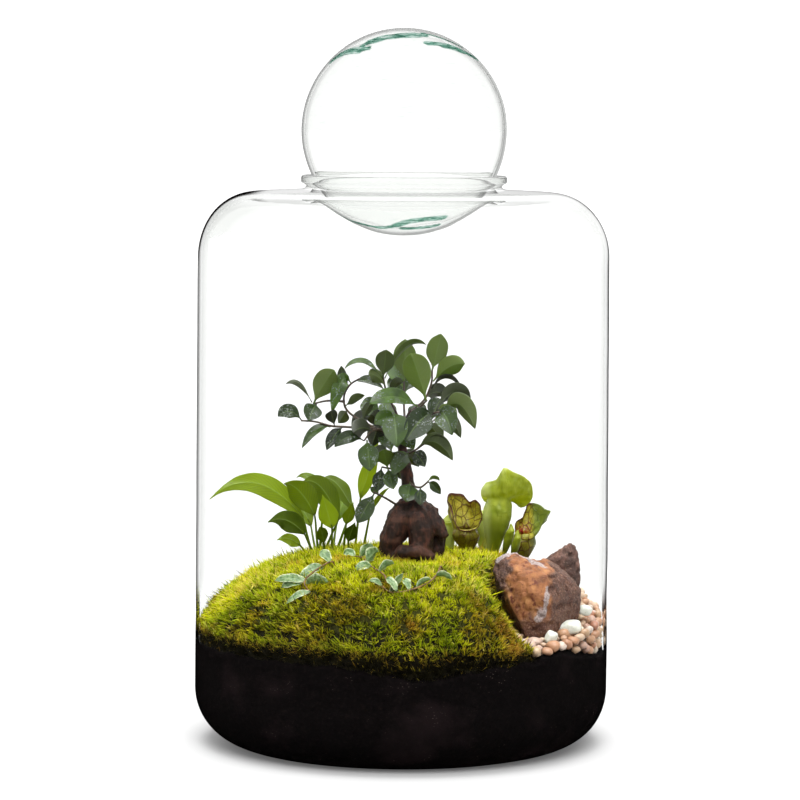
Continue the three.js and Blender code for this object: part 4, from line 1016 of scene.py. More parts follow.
def glass_ball(materials):
    """A blown ball, thicker and uneven where the gathered glass lies, at its poles."""
    vent = math.pi - math.asin(VENT_RADIUS / BALL_RADIUS)
    a = np.linspace(0.02, vent, BALL_RINGS)
    outside = np.stack([BALL_RADIUS * np.sin(a), BALL_Z + BALL_RADIUS * np.cos(a)], -1)
    thick = BALL_WALL + 1.2 * np.cos(a) ** 6
    inside = np.stack([(BALL_RADIUS - thick) * np.sin(a), BALL_Z + (BALL_RADIUS - thick) * np.cos(a)], -1)
    rings = turned(np.vstack([outside, inside[::-1]]), 0.2, 8)
    centre = np.array([0, 0, BALL_Z])
    out = unit(rings - centre)
    lumps = waves(out * BALL_RADIUS, 42, 21, 14) * smoothstep(0.72, 0.95, np.abs(out[..., 2]))
    rings[len(a):] -= (out * (np.maximum(lumps, -0.6) * 0.15)[..., None])[len(a):]
    points = rings.reshape(-1, 3)
    streak = np.zeros(len(points))
    for pixels, width in STREAKS:
        line = smooth_curve([on_ball(*p) for p in pixels], 10)
        streak = np.maximum(streak, near_line(points, line, width))
    look = np.zeros_like(rings)
    look[..., 0] = streak.reshape(rings.shape[:2])
    skin = Skin()
    skin.loft(rings, None, look)
    glass_kinds(skin, rings, len(outside))
    piece("glass_ball", skin.mesh("glass_ball", materials), "ball_glass", "ball_lid")


# The ground

def wall_radius(z):
    """How far out the planting can go at a height, inside the vessel's wall."""
    return lerp(LOW_RADIUS, HIGH_RADIUS, (z - BASE_CORNER) / (SHOULDER_Z - BASE_CORNER)) - WALL - GAP


def soil(material):
    """Soil that fills the base up to the glass, with a rough rim and crumbs all over."""
    a = np.linspace(0, TAU, SOIL_SEGMENTS, endpoint=False)
    flat = np.ones_like(a)
    rows = []
    into = SOIL_PRESS
    low = arc(FOOT_RADIUS, BASE_CORNER, BASE_CORNER - WALL + into, BASE_CORNER - FLOOR + into, -90, 0, 16)
    for r in np.linspace(20, FOOT_RADIUS, 6)[:-1]:
        rows.append((r * flat, (FLOOR - into) * flat))
    rows += [(r * flat, z * flat) for r, z in low]
    edge = wall_radius(SOIL_RIM_Z)
    rim = soil_top(edge * np.cos(a), edge * np.sin(a))
    rim = rim - 2.5 - 1.5 * np.sin(9 * a) * np.sin(31 * a + 1)
    for share in np.linspace(0, 1, 26)[1:]:
        z = lerp(BASE_CORNER, rim, share)
        rows.append((wall_radius(z) + GAP + into, z))
    for r in np.linspace(edge, 6, 40)[1:]:
        rows.append((r * flat, soil_top(r * np.cos(a), r * np.sin(a))))
    rings = np.array([np.stack([r * np.cos(a), r * np.sin(a), z], -1) for r, z in rows])
    crumbs = 0.2 * np.abs(waves(rings, 4.5, 31)) + 0.1 * np.abs(waves(rings, 2.2, 32))
    centre = np.array([0, 0, 50])
    rings += unit(centre - rings) * np.minimum(crumbs, 0.9)[..., None]
    skin = Skin()
    skin.loft(rings)
    piece("garden_soil", skin.mesh("garden_soil", [material]), "soil", "soil")


def reach(centre, inside, angles):
    """How far a plan region goes from a centre inside it, in each direction."""
    r = np.arange(0, 300, 0.5)
    x = centre[0] + np.outer(np.cos(angles), r)
    y = centre[1] + np.outer(np.sin(angles), r)
    return r[np.argmin(inside(x, y), axis=1)]


def patch(skin, centre, inside, bottom, top, shares, spokes=256):
    """A closed block over a plan region, between two heights that are given for each place."""
    a = np.linspace(0, TAU, spokes, endpoint=False)
    far = reach(centre, inside, a)

    def ring(share, height):
        x, y = centre[0] + share * far * np.cos(a), centre[1] + share * far * np.sin(a)
        return np.stack([x, y, height(x, y)], -1)

    rows = [ring(share, bottom) for share in shares[::-1]]
    x, y, low = rows[-1].T
    for share in (0.33, 0.67):
        rows.append(np.stack([x, y, lerp(low, top(x, y), share)], -1))
    skin.loft(rows + [ring(share, top) for share in shares])


def in_vessel(x, y):
    return np.hypot(x, y) < PLANT_RADIUS - 1


def in_moss(x, y):
    return in_vessel(x, y) & (x < moss_edge(y) - 1)


def in_gravel(x, y):
    return in_vessel(x, y) & (x > moss_edge(y) + 1.5)


def moss_bed(material):
    """The mound that the tufts of moss grow on."""
    skin = Skin()

    def top(x, y):
        points = np.stack([x, y, np.zeros_like(x)], -1)
        return moss_top(x, y) - 1.2 + 0.7 * waves(points, 5, 41)

    patch(skin, (-20, 0), in_moss, lambda x, y: soil_top(x, y) + 1.6, top, np.linspace(1, 0.03, 60))
    piece("moss_bed", skin.mesh("moss_bed", [material]), "moss", "moss")


# Patches of the moss that look different: px, py in the front view, radius in mm, how brown.
MOSS_PATCHES = [
    (410, 626, 9, 0.8), (505, 632, 18, 0.75), (480, 618, 14, 0.4), (515, 650, 14, 0.8),
    (262, 612, 10, 0.6), (255, 625, 12, 0.4), (322, 598, 15, 0.35), (300, 640, 30, 0.35),
]

# Patches of the moss with painted shade, or paler where the amount is below 0.
MOSS_SHADES = [
    (322, 618, 16, 0.1), (212, 638, 16, 0.32), (350, 610, 22, 0.1), (250, 585, 26, -0.26),
    (225, 605, 22, -0.3), (292, 590, 8, 0.35), (355, 575, 9, 0.2), (455, 575, 26, -0.12),
    (508, 640, 18, -0.16),
]


def clear_of(nodes, points, room):
    """Which points keep that far from the given solids."""
    keep = np.ones(len(points), bool)
    for node in nodes:
        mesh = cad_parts[node].data
        mesh.calc_loop_triangles()
        places = [v.co[:] for v in mesh.vertices]
        tree = BVHTree.FromPolygons(places, [t.vertices[:] for t in mesh.loop_triangles])
        low, high = (np.array(c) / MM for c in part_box(node))
        near = np.all((points > low - 8) & (points < high + 8), axis=1)
        for i in np.flatnonzero(near & keep):
            at, normal, _, far = tree.find_nearest(Vector(points[i] * MM))
            inside = (Vector(points[i] * MM) - at).dot(normal) < 0
            keep[i] = not inside and far > room * MM
    return keep


def moss_places(rng):
    """Where the tufts grow, which way they point, and how low on the mound's rim they are, 0 to 1."""
    x, y = rng.uniform(-PLANT_RADIUS, PLANT_RADIUS, (2, TUFTS["tries"]))
    ragged = 3 * np.sin(y * 0.5) + 2 * np.sin(y * 1.3 + 1)
    keep = (np.hypot(x, y) < PLANT_RADIUS - 1) & (x < moss_edge(y) + ragged)
    x, y = x[keep], y[keep]
    top = np.stack([x, y, np.minimum(moss_top(x, y), CROWN_Z + 3) - 1.4], -1)
    slope_x = (moss_top(x + 1, y) - moss_top(x - 1, y)) / 2
    slope_y = (moss_top(x, y + 1) - moss_top(x, y - 1)) / 2
    upright = unit(np.stack([-slope_x, -slope_y, np.ones_like(x)], -1))

    a = rng.uniform(0, TAU, TUFTS["rim"])
    rim = (PLANT_RADIUS - 1) * np.stack([np.cos(a), np.sin(a)], -1)
    keep = rim[:, 0] < moss_edge(rim[:, 1]) + 4
    a, rim = a[keep], rim[keep]
    share = rng.uniform(-0.3, 1, len(a))
    z = lerp(soil_top(*rim.T), moss_top(*rim.T), share)
    side = np.stack([rim[:, 0], rim[:, 1], z], -1)
    outward = unit(np.stack([np.cos(a), np.sin(a), 0.9 + 0 * a], -1))

    centres = np.vstack([top, side])
    axis = np.vstack([upright, outward])
    low = np.concatenate([np.zeros(len(x)), 1 - np.clip(share, 0, 1)])
    keep = clear_of(ROOTED, centres, TUFTS["room"])
    return centres[keep], axis[keep], low[keep]


def moss_tones(rng, centres, low, tall):
    """The tone of each leaf and how brown it is. The tone holds random differences and painted shade. tall
    marks the leaves that stand out.
    """
    count, each = tall.shape
    tone = rng.normal(0.67, 0.14, (count, 1)) + rng.normal(0, 0.2, (count, each))
    # Painted shade: darker lower on the mound, down its rim and in the MOSS_SHADES patches; tall leaves are
    # darker too.
    shade = 0.28 * smoothstep(130, 98, centres[:, 2]) + 0.75 * smoothstep(0.1, 1, low)
    for px, py, radius, amount in MOSS_SHADES:
        shade += amount * bell(np.linalg.norm(centres - on_moss(px, py, 0), axis=1), radius)
    tone = np.clip(tone - shade[:, None] - 0.2 * tall, 0, 1)
    brown = 0.6 * smoothstep(0, 0.5, low)
    for px, py, radius, amount in MOSS_PATCHES:
        near = bell(np.linalg.norm(centres - on_moss(px, py, 0), axis=1), radius)
        brown = np.maximum(brown, amount * near)
    brown = np.maximum(brown, 0.45 * smoothstep(0.7, 1.6, waves(centres, 30, 53)))
    return tone, np.clip(brown[:, None] + rng.normal(0, 0.12, (count, each)), 0, 1)


def moss_tufts(material):
    """Thousands of pointed moss leaves, in tufts that fan out over the bed and its rim."""
    rng = np.random.default_rng(SEEDS["moss"])
    centres, axis, low = moss_places(rng)
    count, each = len(centres), TUFTS["leaves"]
    lean = np.stack([waves(centres, 34, 51), waves(centres, 34, 52), np.zeros(count)], -1)
    lean[:, 0] -= 2.0 * smoothstep(40, -110, centres[:, 0])
    axis = unit(axis + 0.28 * lean)
    fan = rng.normal(size=(count, each, 3)) * rng.uniform(*TUFTS["fan"], (count, 1, 1))
    ways = unit(axis[:, None] + fan)
    base = centres[:, None] + rng.normal(size=(count, each, 3)) * np.array([1.0, 1.0, 0.5])
    long = rng.uniform(*TUFTS["length"], (count, 1)) * rng.uniform(0.6, 1.15, (count, each))
    tall = rng.random((count, each)) < (0.03 + 0.07 * smoothstep(10, -50, centres[:, 0]))[:, None]
    long = np.where(tall, long * TUFTS["tall"], long)
    tone, brown = moss_tones(rng, centres, low, tall)

    tip = base + ways * long[..., None]
    spread = np.hypot(tip[..., 0], tip[..., 1])
    pull = np.minimum(1, (PLANT_RADIUS + PLANT_PRESS) / spread)[..., None]
    tip = tip * np.concatenate([pull, pull, np.ones_like(pull)], -1)
    side = unit(np.cross(ways, rng.normal(size=ways.shape)))
    flat = np.cross(ways, side)
    half = TUFTS["half_width"] * rng.uniform(0.75, 1.3, (count, each, 1))
    corners = np.stack([base + side * half, base + flat * half * 0.5, base - side * half, tip], axis=2)
    along = np.array([0, 0, 0, 1.0])
    look = np.stack(np.broadcast_arrays(tone[..., None], brown[..., None], along), -1)

    sector = np.digitize(centres[:, 0], np.quantile(centres[:, 0], [1 / 3, 2 / 3]))
    blade = np.array([(0, 1, 3), (1, 2, 3), (2, 0, 3), (0, 2, 1)])
    for i, name in enumerate(["left", "middle", "right"]):
        points = corners[sector == i].reshape(-1, 3)
        starts = np.arange(0, len(points), len(along))[:, None, None]
        faces = (starts + blade[None]).reshape(-1, 3)
        skin = Skin()
        skin.add(points, faces.tolist(), None, look[sector == i].reshape(-1, 3))
        mesh = skin.mesh("moss_" + name, [material], smooth=False, tidy=False)
        piece("moss_tufts_" + name, mesh, "moss")


# Pebbles: how many are tried, their half sizes in mm, and how near they come as a share of touching.
GRAVEL = {
    "tries": 12000, "tries_at_glass": 4000, "closest": 0.82,
    "sizes": (2.4, 5.2), "sizes_at_glass": (3.2, 5.4),
}


def stone_shape(rng, ball, sizes):
    """A water-worn pebble: a ball pressed to three half sizes, uneven, turned at random."""
    uneven = 1 + 0.1 * waves(ball, 1.7, rng.integers(1 << 30), 8)
    points = ball * uneven[:, None] * sizes
    spin = Matrix.Rotation(rng.uniform(0, TAU), 3, unit(rng.normal(size=3)).tolist())
    return points @ np.array(spin).T


def pebbles(material, bed_material):
    """Pebbles tried at random, the first ones against the glass, over a bed that fills the gaps."""
    rng = np.random.default_rng(SEEDS["gravel"])
    ball, faces = unit_ball(2)
    skin = Skin()
    patch(skin, (124, 0), lambda x, y: in_gravel(x, y) & (np.hypot(x, y) < PLANT_RADIUS - 3.5),
          lambda x, y: soil_top(x, y) + 0.4, lambda x, y: ground_top(x, y) - 4, np.linspace(1, 0.1, 8), 96)
    skin.kinds = [1] * len(skin.kinds)
    placed = np.zeros((0, 4))
    for number in range(GRAVEL["tries"]):
        x, y = rng.uniform(60, PLANT_RADIUS), rng.uniform(-120, 120)
        size = rng.uniform(*GRAVEL["sizes"])
        at_glass = number < GRAVEL["tries_at_glass"]
        if at_glass:
            size = rng.uniform(*GRAVEL["sizes_at_glass"])
            x, y = (PLANT_RADIUS + 1 - 0.8 * size) * unit([x, y])
        if not x > moss_edge(y) + 1.5 + size * 0.6 or math.hypot(x, y) > PLANT_RADIUS + 1.1 - 0.8 * size:
            continue
        ground, floor = float(ground_top(x, y)), float(soil_top(x, y))
        z = rng.uniform(floor, ground - 0.5) if at_glass else ground - rng.uniform(0, 1)
        if z < floor + size * 0.3:
            continue
        at = np.array([x, y, z])
        apart = np.linalg.norm(placed[:, :3] - at, axis=1)
        if np.any(apart < GRAVEL["closest"] * (placed[:, 3] + size)):
            continue
        if not clear_of(["stone_rust", "stone_grey"], at[None], size * 0.55)[0]:
            continue
        placed = np.vstack([placed, [*at, size]])
        sizes = size * np.array([1, rng.uniform(0.75, 1), rng.uniform(0.6, 0.9)])
        skin.add(at + stone_shape(rng, ball, sizes), faces, None, (rng.random(), 0, 0), 0)
    piece("pebble_bed", skin.mesh("pebble_bed", [material, bed_material], tidy=False), "gravel", "gravel")


def white_pebbles(material):
    """Three larger pebbles, blunt and a little uneven, kept within their own half sizes."""
    ball, faces = unit_ball(4)
    for i, (name, (px, py, back, a, b, c, turn)) in enumerate(PEBBLES.items()):
        rng = np.random.default_rng(SEEDS["white_pebbles"] + i)
        blunt = np.sign(ball) * np.abs(ball) ** 0.8
        uneven = 1 + 0.06 * waves(ball, 1.5, 70 + i, 8)
        points = blunt * uneven[:, None] * (a, b, c)
        points /= np.maximum(np.abs(points).max(axis=0) / (a, b, c), 1)
        spin = Matrix.Rotation(math.radians(turn / 2), 3, "Y") @ Matrix.Rotation(math.radians(turn), 3, "Z")
        skin = Skin()
        skin.add(seen(px, py, back) + points @ np.array(spin).T, faces, None, (rng.random(), 0, 0))
        piece("white_pebble_" + name, skin.mesh(name, [material]), "quartz", "pebble_" + name)


# Stones and trunk

# The rust stone's pale crusts, cracks and pale spots: (px, py, back), and the spots' radius in mm.
CRUSTS = [
    [(500, 560, -50), (506, 554, -50), (516, 552, -46), (530, 559, -46), (545, 570, -60)],
    [(549, 588, -78), (548, 600, -82), (545, 612, -82), (538, 618, -80)],
]
CRACKS = [
    [(508, 566, -52), (512, 574, -58), (516, 580, -62)],
    [(530, 566, -56), (524, 576, -64), (534, 584, -70), (541, 580, -72)],
    [(516, 584, -66), (524, 598, -72), (520, 606, -74)],
]
PALE_SPOTS = [(512, 577, -62, 4), (516, 582, -64, 4), (541, 612, -80, 6)]

# Where painted shade on its flanks begins and is full: px at its left and right, and height in mm, low down
FLANK_SHADE = {"left": (514, 505), "right": (548, 558), "low": (110, 97)}


def along_lines(points, lines, width):
    """1 on any of some lines of the front view, fading to 0 at a distance from it."""
    curves = [smooth_curve([seen(*p) for p in line], 12) for line in lines]
    return np.max([near_line(points, curve, width) for curve in curves], axis=0)


def rust_stone(material):
    """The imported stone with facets, raised pale crusts and cracks."""
    mesh = remeshed("stone_rust", "rust_stone", 1.1, 3)
    points = mesh_points(mesh)
    facets = np.abs(waves(points, 20, 81, 9)) * 1.3
    facets = facets + 0.5 * waves(points, 7, 82) + 0.16 * waves(points, 2.4, 83)
    ridge = along_lines(points, CRUSTS, 4.6)
    crack = along_lines(points, CRACKS, 2.2)
    displaced(mesh, np.clip(facets, -1.5, 1.2) - 1.0 + 0.4 * ridge - 1.6 * crack)
    points = mesh_points(mesh)
    # Painted shade: the stone's left and right flanks and its low part are marked dark.
    pixel = VIEW["axis_x"] + points[:, 0] * VIEW["focal"] / (VIEW["distance"] + points[:, 1])
    wander = 4 * waves(points, 12, 84)
    dark = smoothstep(*FLANK_SHADE["left"], pixel + wander)
    dark = np.maximum(dark, 0.9 * smoothstep(*FLANK_SHADE["right"], pixel + wander))
    dark = np.maximum(dark, 0.8 * smoothstep(*FLANK_SHADE["low"], points[:, 2] + wander))
    for px, py, back, size in PALE_SPOTS:
        ridge = np.maximum(ridge, 0.8 * bell(np.linalg.norm(points - seen(px, py, back), axis=1), size))
    set_look(mesh, np.stack([ridge, dark, crack * 0.8], -1))
    mesh.materials.append(material)
    piece("rust_rock", mesh, "rust_stone", "stone_rust")


def brown_stone(material):
    """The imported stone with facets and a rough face."""
    mesh = remeshed("stone_grey", "brown_stone", 1.0, 3)
    points = mesh_points(mesh)
    facets = np.abs(waves(points, 18, 91, 9)) + 0.5 * waves(points, 6, 92) + 0.15 * waves(points, 2.2, 93)
    displaced(mesh, np.clip(facets, -1.2, 1.1) - 0.8)
    mesh.materials.append(material)
    piece("brown_rock", mesh, "brown_stone", "stone_grey")


def trunk(material):
    """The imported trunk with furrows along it, which are finer on its limbs."""
    mesh = remeshed("fig_trunk", "trunk", 0.9, 8)
    points = mesh_points(mesh)
    stretched = points * np.array([1, 1, 0.35])
    furrows = 0.32 * waves(stretched, 9, 101) + 0.15 * waves(points, 5, 102) + 0.08 * waves(points, 2, 103)
    stout = smoothstep(250, 200, points[:, 2])
    displaced(mesh, furrows * lerp(0.35, 1.0, stout) + 0.3)
    mesh.materials.append(material)
    piece("fig_tree_trunk", mesh, "bark", "fig_trunk")


# Leaves and stems

# Where a blade has points, from one edge to the other
LEAF_ACROSS = np.array([-1, -0.93, -0.72, -0.45, -0.16, 0, 0.16, 0.45, 0.72, 0.93, 1])


def leaf(skin, base, tip, rise, width, turn, outline, shape, tone, rows=20):
    """A closed thin blade along an arched midrib. turn rolls it about its midrib, as in the solids.

    outline gives half widths along it, as shares of width; shape says how it folds, curls and waves."""
    top = (base + tip) / 2 + np.array([0, 0, 2 * rise])
    t = np.linspace(0, 1, rows)[:, None]
    middle = (1 - t) ** 2 * base + 2 * t * (1 - t) * top + t**2 * tip
    along = unit(2 * (1 - t) * (top - base) + 2 * t * (tip - top))
    facing = np.array([0, 0, 1]) if abs(along[rows // 2, 1]) > 0.75 else np.array([0, 1, 0])
    side = unit(np.cross(along, facing))
    angle = math.radians(turn)
    side = side * math.cos(angle) + np.cross(along, side) * math.sin(angle)
    normal = unit(np.cross(side, along))
    away = middle[rows // 2] - np.array([0, 0, middle[rows // 2, 2]]) + np.array([0, 0, shape["up"]])
    if normal[rows // 2] @ away < 0:
        side, normal = -side, -normal
    line = smooth_curve([(*p, 0) for p in outline] + [(1, 0.015, 0)], 8)
    half = width * np.interp(t[:, 0], line[:, 0], np.maximum(line[:, 1], 0.012))[:, None]
    u = LEAF_ACROSS[None]
    swing = np.sin(TAU * shape["waves"] * t + 5 * tone + 0.8 * np.sign(u)) * np.abs(u) ** 2
    lift = half * (shape["fold"] * np.abs(u) + shape["cup"] * u**2 + shape["wavy"] * swing)
    lift -= 0.18 * np.exp(-((u / 0.1) ** 2))
    curl = shape["curl"] * (t - 0.4) ** 2 * np.linalg.norm(tip - base)
    thick = shape["thick"] * (1 - 0.7 * u**2) * (1 + 0.9 * smoothstep(0.16, 0.0, t))
    blade = middle[:, None] + side[:, None] * (half * u)[..., None]
    upper = blade + normal[:, None] * (lift - curl + thick / 2)[..., None]
    lower = blade + normal[:, None] * (lift - curl - thick / 2)[..., None]
    rings = np.concatenate([upper, lower[:, ::-1]], axis=1)
    v = np.broadcast_to(t, (rows, len(LEAF_ACROSS)))
    uu = np.broadcast_to((u + 1) / 2, v.shape)
    uv = np.stack([np.concatenate([uu, uu[:, ::-1]], 1), np.concatenate([v, v], 1)], -1)
    under = np.concatenate([np.zeros_like(v), np.ones_like(v)], 1)
    look = np.stack([np.full_like(under, tone), under, uv[..., 1]], -1)
    skin.loft(rings, uv, look)
    return upper, normal


# Outlines of the blades: share of the length, and half width as a share of the width
FIG_OUTLINE = [
    (0, 0.04), (0.1, 0.05), (0.16, 0.12), (0.36, 0.43),
    (0.58, 0.5), (0.78, 0.41), (0.92, 0.2), (0.98, 0.06),
]
LILY_OUTLINE = [(0, 0.06), (0.14, 0.34), (0.32, 0.5), (0.52, 0.45), (0.72, 0.27), (0.88, 0.1)]
CREEPER_OUTLINE = [(0, 0.08), (0.2, 0.38), (0.5, 0.5), (0.8, 0.33)]

# Shapes of the blades. up is how far over the ground a point lies that their upper faces turn from.
FIG_SHAPE = {"up": 60, "fold": 0.2, "cup": 0.1, "wavy": 0.05, "waves": 1.5, "curl": 0.12, "thick": 0.55}
LILY_SHAPE = {"up": 90, "fold": 0.16, "cup": -0.1, "wavy": 0.1, "waves": 2, "curl": 0.05, "thick": 0.5}
CREEPER_SHAPE = {"up": 300, "fold": 0.12, "cup": 0.1, "wavy": 0.12, "waves": 2, "curl": 0.1, "thick": 0.5}


def drops(skin, rng, upper, normal, ball, faces, kind):
    """Small water drops that sit on a leaf's upper face."""
    for _ in range(DROPS):
        i = rng.integers(6, len(upper) - 3)
        j = rng.integers(2, len(LEAF_ACROSS) - 2)
        size = rng.uniform(0.25, 0.6)
        at = lerp(upper[i, j], upper[i + 1, j], rng.random())
        points = ball * size
        flat = points @ normal[i]
        points = points - 0.4 * flat[:, None] * normal[i]
        skin.add(at + points + 0.2 * size * normal[i], faces, None, (0.5, 0, 0), kind)


def fig_shoots(leaf_material, twig_material, water_material):
    """Each leafy shoot is one piece: a knotty twig, its leaves, and drops on the wider ones."""
    ball, faces = unit_ball(1)
    for number, (name, (twig, leaves)) in enumerate(SHOOTS.items()):
        rng = np.random.default_rng(SEEDS["fig"] + number)
        skin = Skin()
        path = smooth_curve([seen(*p) for p in twig], 7)
        share = np.linspace(0, 1, len(path))
        knots = 0.12 * np.sin(share * TAU * 1.5 * len(twig)) ** 4
        skin.tube(path, (TWIG_RADIUS - 0.3 * share) * (1 + knots), 8, (0.5, 0, 0), 1)
        for base, tip, rise, width, turn in leaves:
            shape = {**FIG_SHAPE, "fold": rng.uniform(0.1, 0.3), "curl": rng.uniform(0.0, 0.16)}
            tone = rng.uniform(0, 1) ** 1.4
            upper, normal = leaf(skin, seen(*base), seen(*tip), rise, width, turn, FIG_OUTLINE, shape, tone)
            if width >= WET_WIDTH:
                drops(skin, rng, upper, normal, ball, faces, 2)
        mesh = skin.mesh("fig_" + name, [leaf_material, twig_material, water_material])
        piece("fig_leaves_" + name, mesh, "fig_leaf", "fig_shoot_" + name)


def lily(leaf_material):
    """Each leaf is one piece: a stalk from the ground that runs into its blade."""
    for i, (foot, start, tip, rise, width, turn, tone) in enumerate(LILY):
        rng = np.random.default_rng(SEEDS["lily"] + i)
        low, blade, end = seen(*foot), seen(*start), seen(*tip)
        skin = Skin()
        root = low - unit(blade - low) * STEM_DEPTH
        into = lerp(blade, end, 0.12) + np.array([0, 0, 0.44 * rise])
        path = smooth_curve([root, low, lerp(low, blade, 0.5), blade, into], 6)
        share = np.linspace(0, 1, len(path))
        skin.tube(path, lerp(*STALK_RADII, share**0.7), 10, (0.35, 0, 0.1))
        shape = {**LILY_SHAPE, "wavy": rng.uniform(0.06, 0.15)}
        leaf(skin, blade, end, rise, width, turn, LILY_OUTLINE, shape, tone, 34)
        name = "lily_leaf_" + str(i + 1)
        piece("lily_blade_" + str(i + 1), skin.mesh(name, [leaf_material]), "lily_leaf", name)


# Pitchers: share of the length, and radius as a share of the mouth's, a little fuller than the solids'
TRAP_SHAPE = [(0, 0.34), (0.22, 0.58), (0.5, 0.95), (0.75, 1.08), (1, 0.85)]
TRAP_WALL = 0.6
TRAP_SIDES = 48
THROAT = (524, 531, 32)  # where the right trap is red inside
TRAP_BUD = 3.5  # mouth radius under which a trap is still closed to a point
HOOD_STEPS = 16
VEINED = ("left", "right")


def trap_rim(name, high, turn, out):
    """The rim of a trap: its hood's as listed, a point for a bud, or else a small waved lip."""
    radius, hood, spread = PITCHERS[name][2:5]
    if name in HOODS:
        points = np.array([seen(*p) for p in HOODS[name]])
        closed = smooth_curve(np.vstack([points[-2:], points, points[:3]]), HOOD_STEPS)
        at = 2 * HOOD_STEPS + turn / TAU * (len(points) * HOOD_STEPS)
        low = np.floor(at).astype(int)
        return lerp(closed[low], closed[low + 1], (at - low)[:, None])
    if radius < TRAP_BUD:
        return high + 0.12 * radius * out + np.array([0, 0, 1.8 * hood])
    behind = np.maximum(0, -np.cos(turn)) ** 0.7
    far = radius * (1.2 + 0.06 * np.sin(5 * turn + 1)) + spread * np.abs(np.sin(turn)) * behind
    return high + out * far[:, None] + np.array([0, 0, 1]) * (hood * behind)[:, None]


def trap(skin, name):
    """A pitcher: a swelling tube with a wing down its front, whose back goes up into a hood."""
    foot, mouth, radius, _, _, facing = PITCHERS[name]
    low, high = seen(*foot), seen(*mouth)
    turn = np.linspace(0, TAU, TRAP_SIDES if radius > TRAP_BUD else TRAP_SIDES // 2, endpoint=False)
    face = math.radians(facing)
    out = np.stack([np.sin(turn + face), -np.cos(turn + face), 0 * turn], -1)
    front = np.array([math.sin(face), -math.cos(face), 0])
    line = smooth_curve([(*p, 0) for p in TRAP_SHAPE], 8)
    tube = []
    for t, share, _ in line:
        wing = 0.16 * radius * bell(np.angle(np.exp(1j * turn)), 0.16) * math.sin(math.pi * t) ** 0.5
        tube.append(lerp(low, high, t) + out * (share * radius) + front * wing[:, None])
    rim = trap_rim(name, high, turn, out)
    tall = smoothstep(2, 14, np.linalg.norm(rim - tube[-1], axis=1))
    hood = []
    for share in np.linspace(0, 1, 18)[1:]:
        swell = 0.22 * radius * math.sin(math.pi * share) * tall
        hood.append(lerp(tube[-1], rim, share) + out * swell[:, None])
    rows = np.array(tube + hood)
    for _ in range(3):
        rows[2:-1] = (rows[1:-2] + 2 * rows[2:-1] + rows[3:]) / 4
    wrinkle = 0.25 * waves(rows, 7, 500) * smoothstep(0.2, 0.6, np.linspace(0, 1, len(rows)))[:, None]
    around = np.roll(rows, -1, axis=1) - np.roll(rows, 1, axis=1)
    along = np.gradient(rows, axis=0)
    normal = unit(np.cross(around, along))
    if np.sum(normal[8] * out) < 0:
        normal = -normal
    rows = rows + normal * wrinkle[..., None]
    inner = (rows - normal * TRAP_WALL)[:10:-1]
    both = np.concatenate([rows, inner])
    height = (both[..., 2] - low[2]) / (both[..., 2].max() - low[2])
    throat = np.zeros(both.shape[:2])
    if name == "right":
        throat[len(rows):] = bell(np.linalg.norm(inner - seen(*THROAT), axis=-1), 6)
    rim_near = np.zeros(both.shape[:2])
    rim_near[len(rows) - 8:len(rows) + 8] = 1 - np.abs(np.linspace(-1, 1, 16))[:, None]
    skin.loft(both, None, np.stack([rim_near, throat, height], -1))
    root = low - unit(high - low) * STEM_DEPTH
    stalk = smooth_curve([root, low, lerp(low, high, 0.08)], 5)
    skin.tube(stalk, np.full(len(stalk), 0.29 * radius), 16, (0, 0, 0))


def traps(plain, veined):
    for name in PITCHERS:
        material, slot = (veined, "pitcher_veined") if name in VEINED else (plain, "pitcher_leaf")
        skin = Skin()
        trap(skin, name)
        mesh = skin.mesh("pitcher_" + name, [material])
        piece("pitcher_trap_" + name, mesh, slot, "pitcher_" + name)


def over_moss(base, px, py):
    """Where a leaf's tip is seen at a pixel, near the moss and not far from the leaf's base."""
    y = on_moss(px, py, VINE_LIFT + 1)[1]
    return seen(px, py, np.clip(y, base[1] - 6, base[1] + 6))


def creeper(leaf_material, stem_material):
    """Each vine is one piece: a stem over the moss with small leaves along it."""
    for number, (name, (stem, leaves)) in enumerate(VINES.items()):
        rng = np.random.default_rng(SEEDS["creeper"] + number)
        skin = Skin()
        along = [on_moss(px, py, VINE_LIFT) for px, py in stem]
        root = along[0] - np.array([0, 0, VINE_LIFT + 6])
        path = smooth_curve([root, *along], 8)
        skin.tube(path, np.linspace(*VINE_RADII, len(path)), 8, (0.5, 0, 0), 1)
        for foot, end, width in leaves:
            base = on_moss(*foot, VINE_LIFT)
            tip = over_moss(base, *end)
            shape = {**CREEPER_SHAPE, "wavy": rng.uniform(0.08, 0.2)}
            leaf(skin, base, tip, VINE_RISE, width, VINE_TURN, CREEPER_OUTLINE, shape, rng.random(), 18)
        mesh = skin.mesh("creeper_" + name, [leaf_material, stem_material])
        piece("creeping_vine_" + name, mesh, "creeper_leaf", "creeper_" + name)


# Studio

def studio():
    """A bright world: one even brightness where it is seen, and light from above and behind."""
    world = bpy.data.worlds.new("studio")
    bpy.context.scene.world = world
    s = Shader(world)
    _, y, z = s.place("Generated")
    light = s.step(y, -0.6, 0.9) * LIGHT["back"] + LIGHT["front"]
    light = light + s.step(z, -0.1, 0.9) * LIGHT["above"]
    path = s.node("LightPath")
    bounces = path["Diffuse Depth"] + path["Is Diffuse Ray"] + path["Glossy Depth"]
    through = path["Is Transmission Ray"] * s.maths("LESS_THAN", bounces, 0.5)
    clear = s.larger(path["Is Camera Ray"], through)
    strength = s.node("Mix", {0: clear, 2: light, 3: LIGHT["seen"]}, data_type="FLOAT")[0]
    background = s.node("Background", {"Color": (1, 1, 1), "Strength": strength})[0]
    s.node("OutputWorld", {"Surface": background})


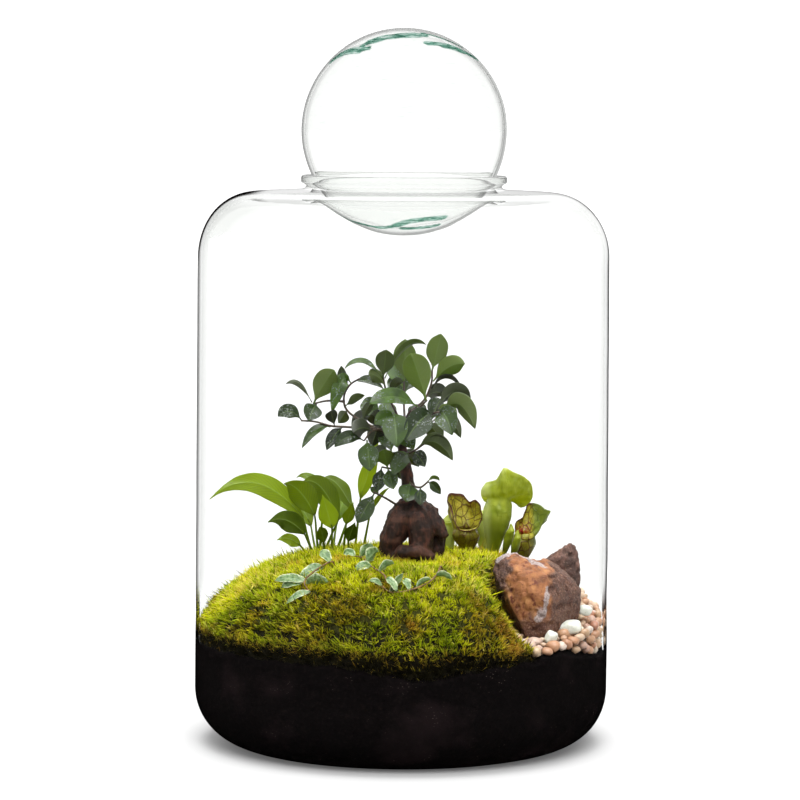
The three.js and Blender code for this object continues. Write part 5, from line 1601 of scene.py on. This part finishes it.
def lamp(name, place, target, spread, strength):
    """Even soft light from a place's direction. spread is its width in degrees."""
    light = bpy.data.lights.new(name, "SUN")
    light.angle = math.radians(spread)
    light.energy = strength
    made = bpy.data.objects.new(name, light)
    made.location = place
    made.visible_transmission = False
    made.rotation_euler = (Vector(target) - Vector(place)).to_track_quat("-Z", "Y").to_euler()
    bpy.context.scene.collection.objects.link(made)


def floor_sheet():
    """The even grey floor, lit a little from within as the photo's is."""
    s = Shader("floor")
    matt = s.node("BsdfDiffuse", {"Color": (FLOOR_GREY, FLOOR_GREY, FLOOR_GREY)})[0]
    lit = s.node("Emission", {"Color": (1, 1, 1), "Strength": LIGHT["floor"]})[0]
    joined = s.node("AddShader", {0: matt, 1: lit})[0]
    mesh = bpy.data.meshes.new("floor")
    side = 40
    corners = [(-side, -side, 0), (side, -side, 0), (side, side, 0), (-side, side, 0)]
    mesh.from_pydata(corners, [], [(0, 1, 2, 3)])
    mesh.materials.append(s.done(joined))
    made = bpy.data.objects.new("floor", mesh)
    bpy.context.scene.collection.objects.link(made)


def camera():
    """Looks from the front view's eye, with the picture's middle set on the vessel's axis."""
    lens = bpy.data.cameras.new("camera")
    lens.sensor_width = SENSOR
    lens.lens = VIEW["focal"] * SENSOR / FRAME_PIXELS
    lens.clip_end = 100
    made = bpy.data.objects.new("camera", lens)
    offset = (FRAME_PIXELS / 2 - VIEW["axis_x"]) * VIEW["distance"] / VIEW["focal"]
    made.location = (offset * MM, -VIEW["distance"] * MM, VIEW["height"] * MM)
    look_down = Matrix.Rotation(math.pi / 2 - VIEW["tilt"], 3, "X")
    made.rotation_euler = (look_down @ Matrix.Rotation(VIEW_ROLL, 3, "Z")).to_euler()
    bpy.context.scene.collection.objects.link(made)
    bpy.context.scene.camera = made


def settings():
    scene = bpy.context.scene
    scene.view_settings.view_transform = "Standard"
    scene.cycles.max_bounces = 24
    scene.cycles.glossy_bounces = 16
    scene.cycles.transmission_bounces = 18
    scene.cycles.transparent_max_bounces = 18
    scene.cycles.caustics_reflective = False


# Assembly

camera()
studio()
settings()
floor_sheet()
lamp("softbox", (0.08, -1.4, 1.9), (0, 0, 0.15), 30, LIGHT["softbox"])
lamp("overhead", (0.0, -0.1, 2.0), (0, 0, 0.15), 30, LIGHT["overhead"])

inside_glass = glass("inside")
glass_vessel([glass("vessel"), inside_glass, glass("lip")])
glass_ball([glass("ball"), inside_glass])
soil(soil_look())
moss_bed(moss_bed_look())
moss_tufts(moss_look())
pebbles(pebble_look(), gravel_bed_look())
white_pebbles(quartz_look())
rust_stone(rust_stone_look())
brown_stone(brown_stone_look())
trunk(bark_look())
fig_shoots(fig_look(), twig_look(), water_look())
lily(lily_look())
traps(trap_look("pitcher", plain_trap, 0.48), trap_look("veined_pitcher", veined_trap, 0.36))
creeper(creeper_look(), vine_stem_look())
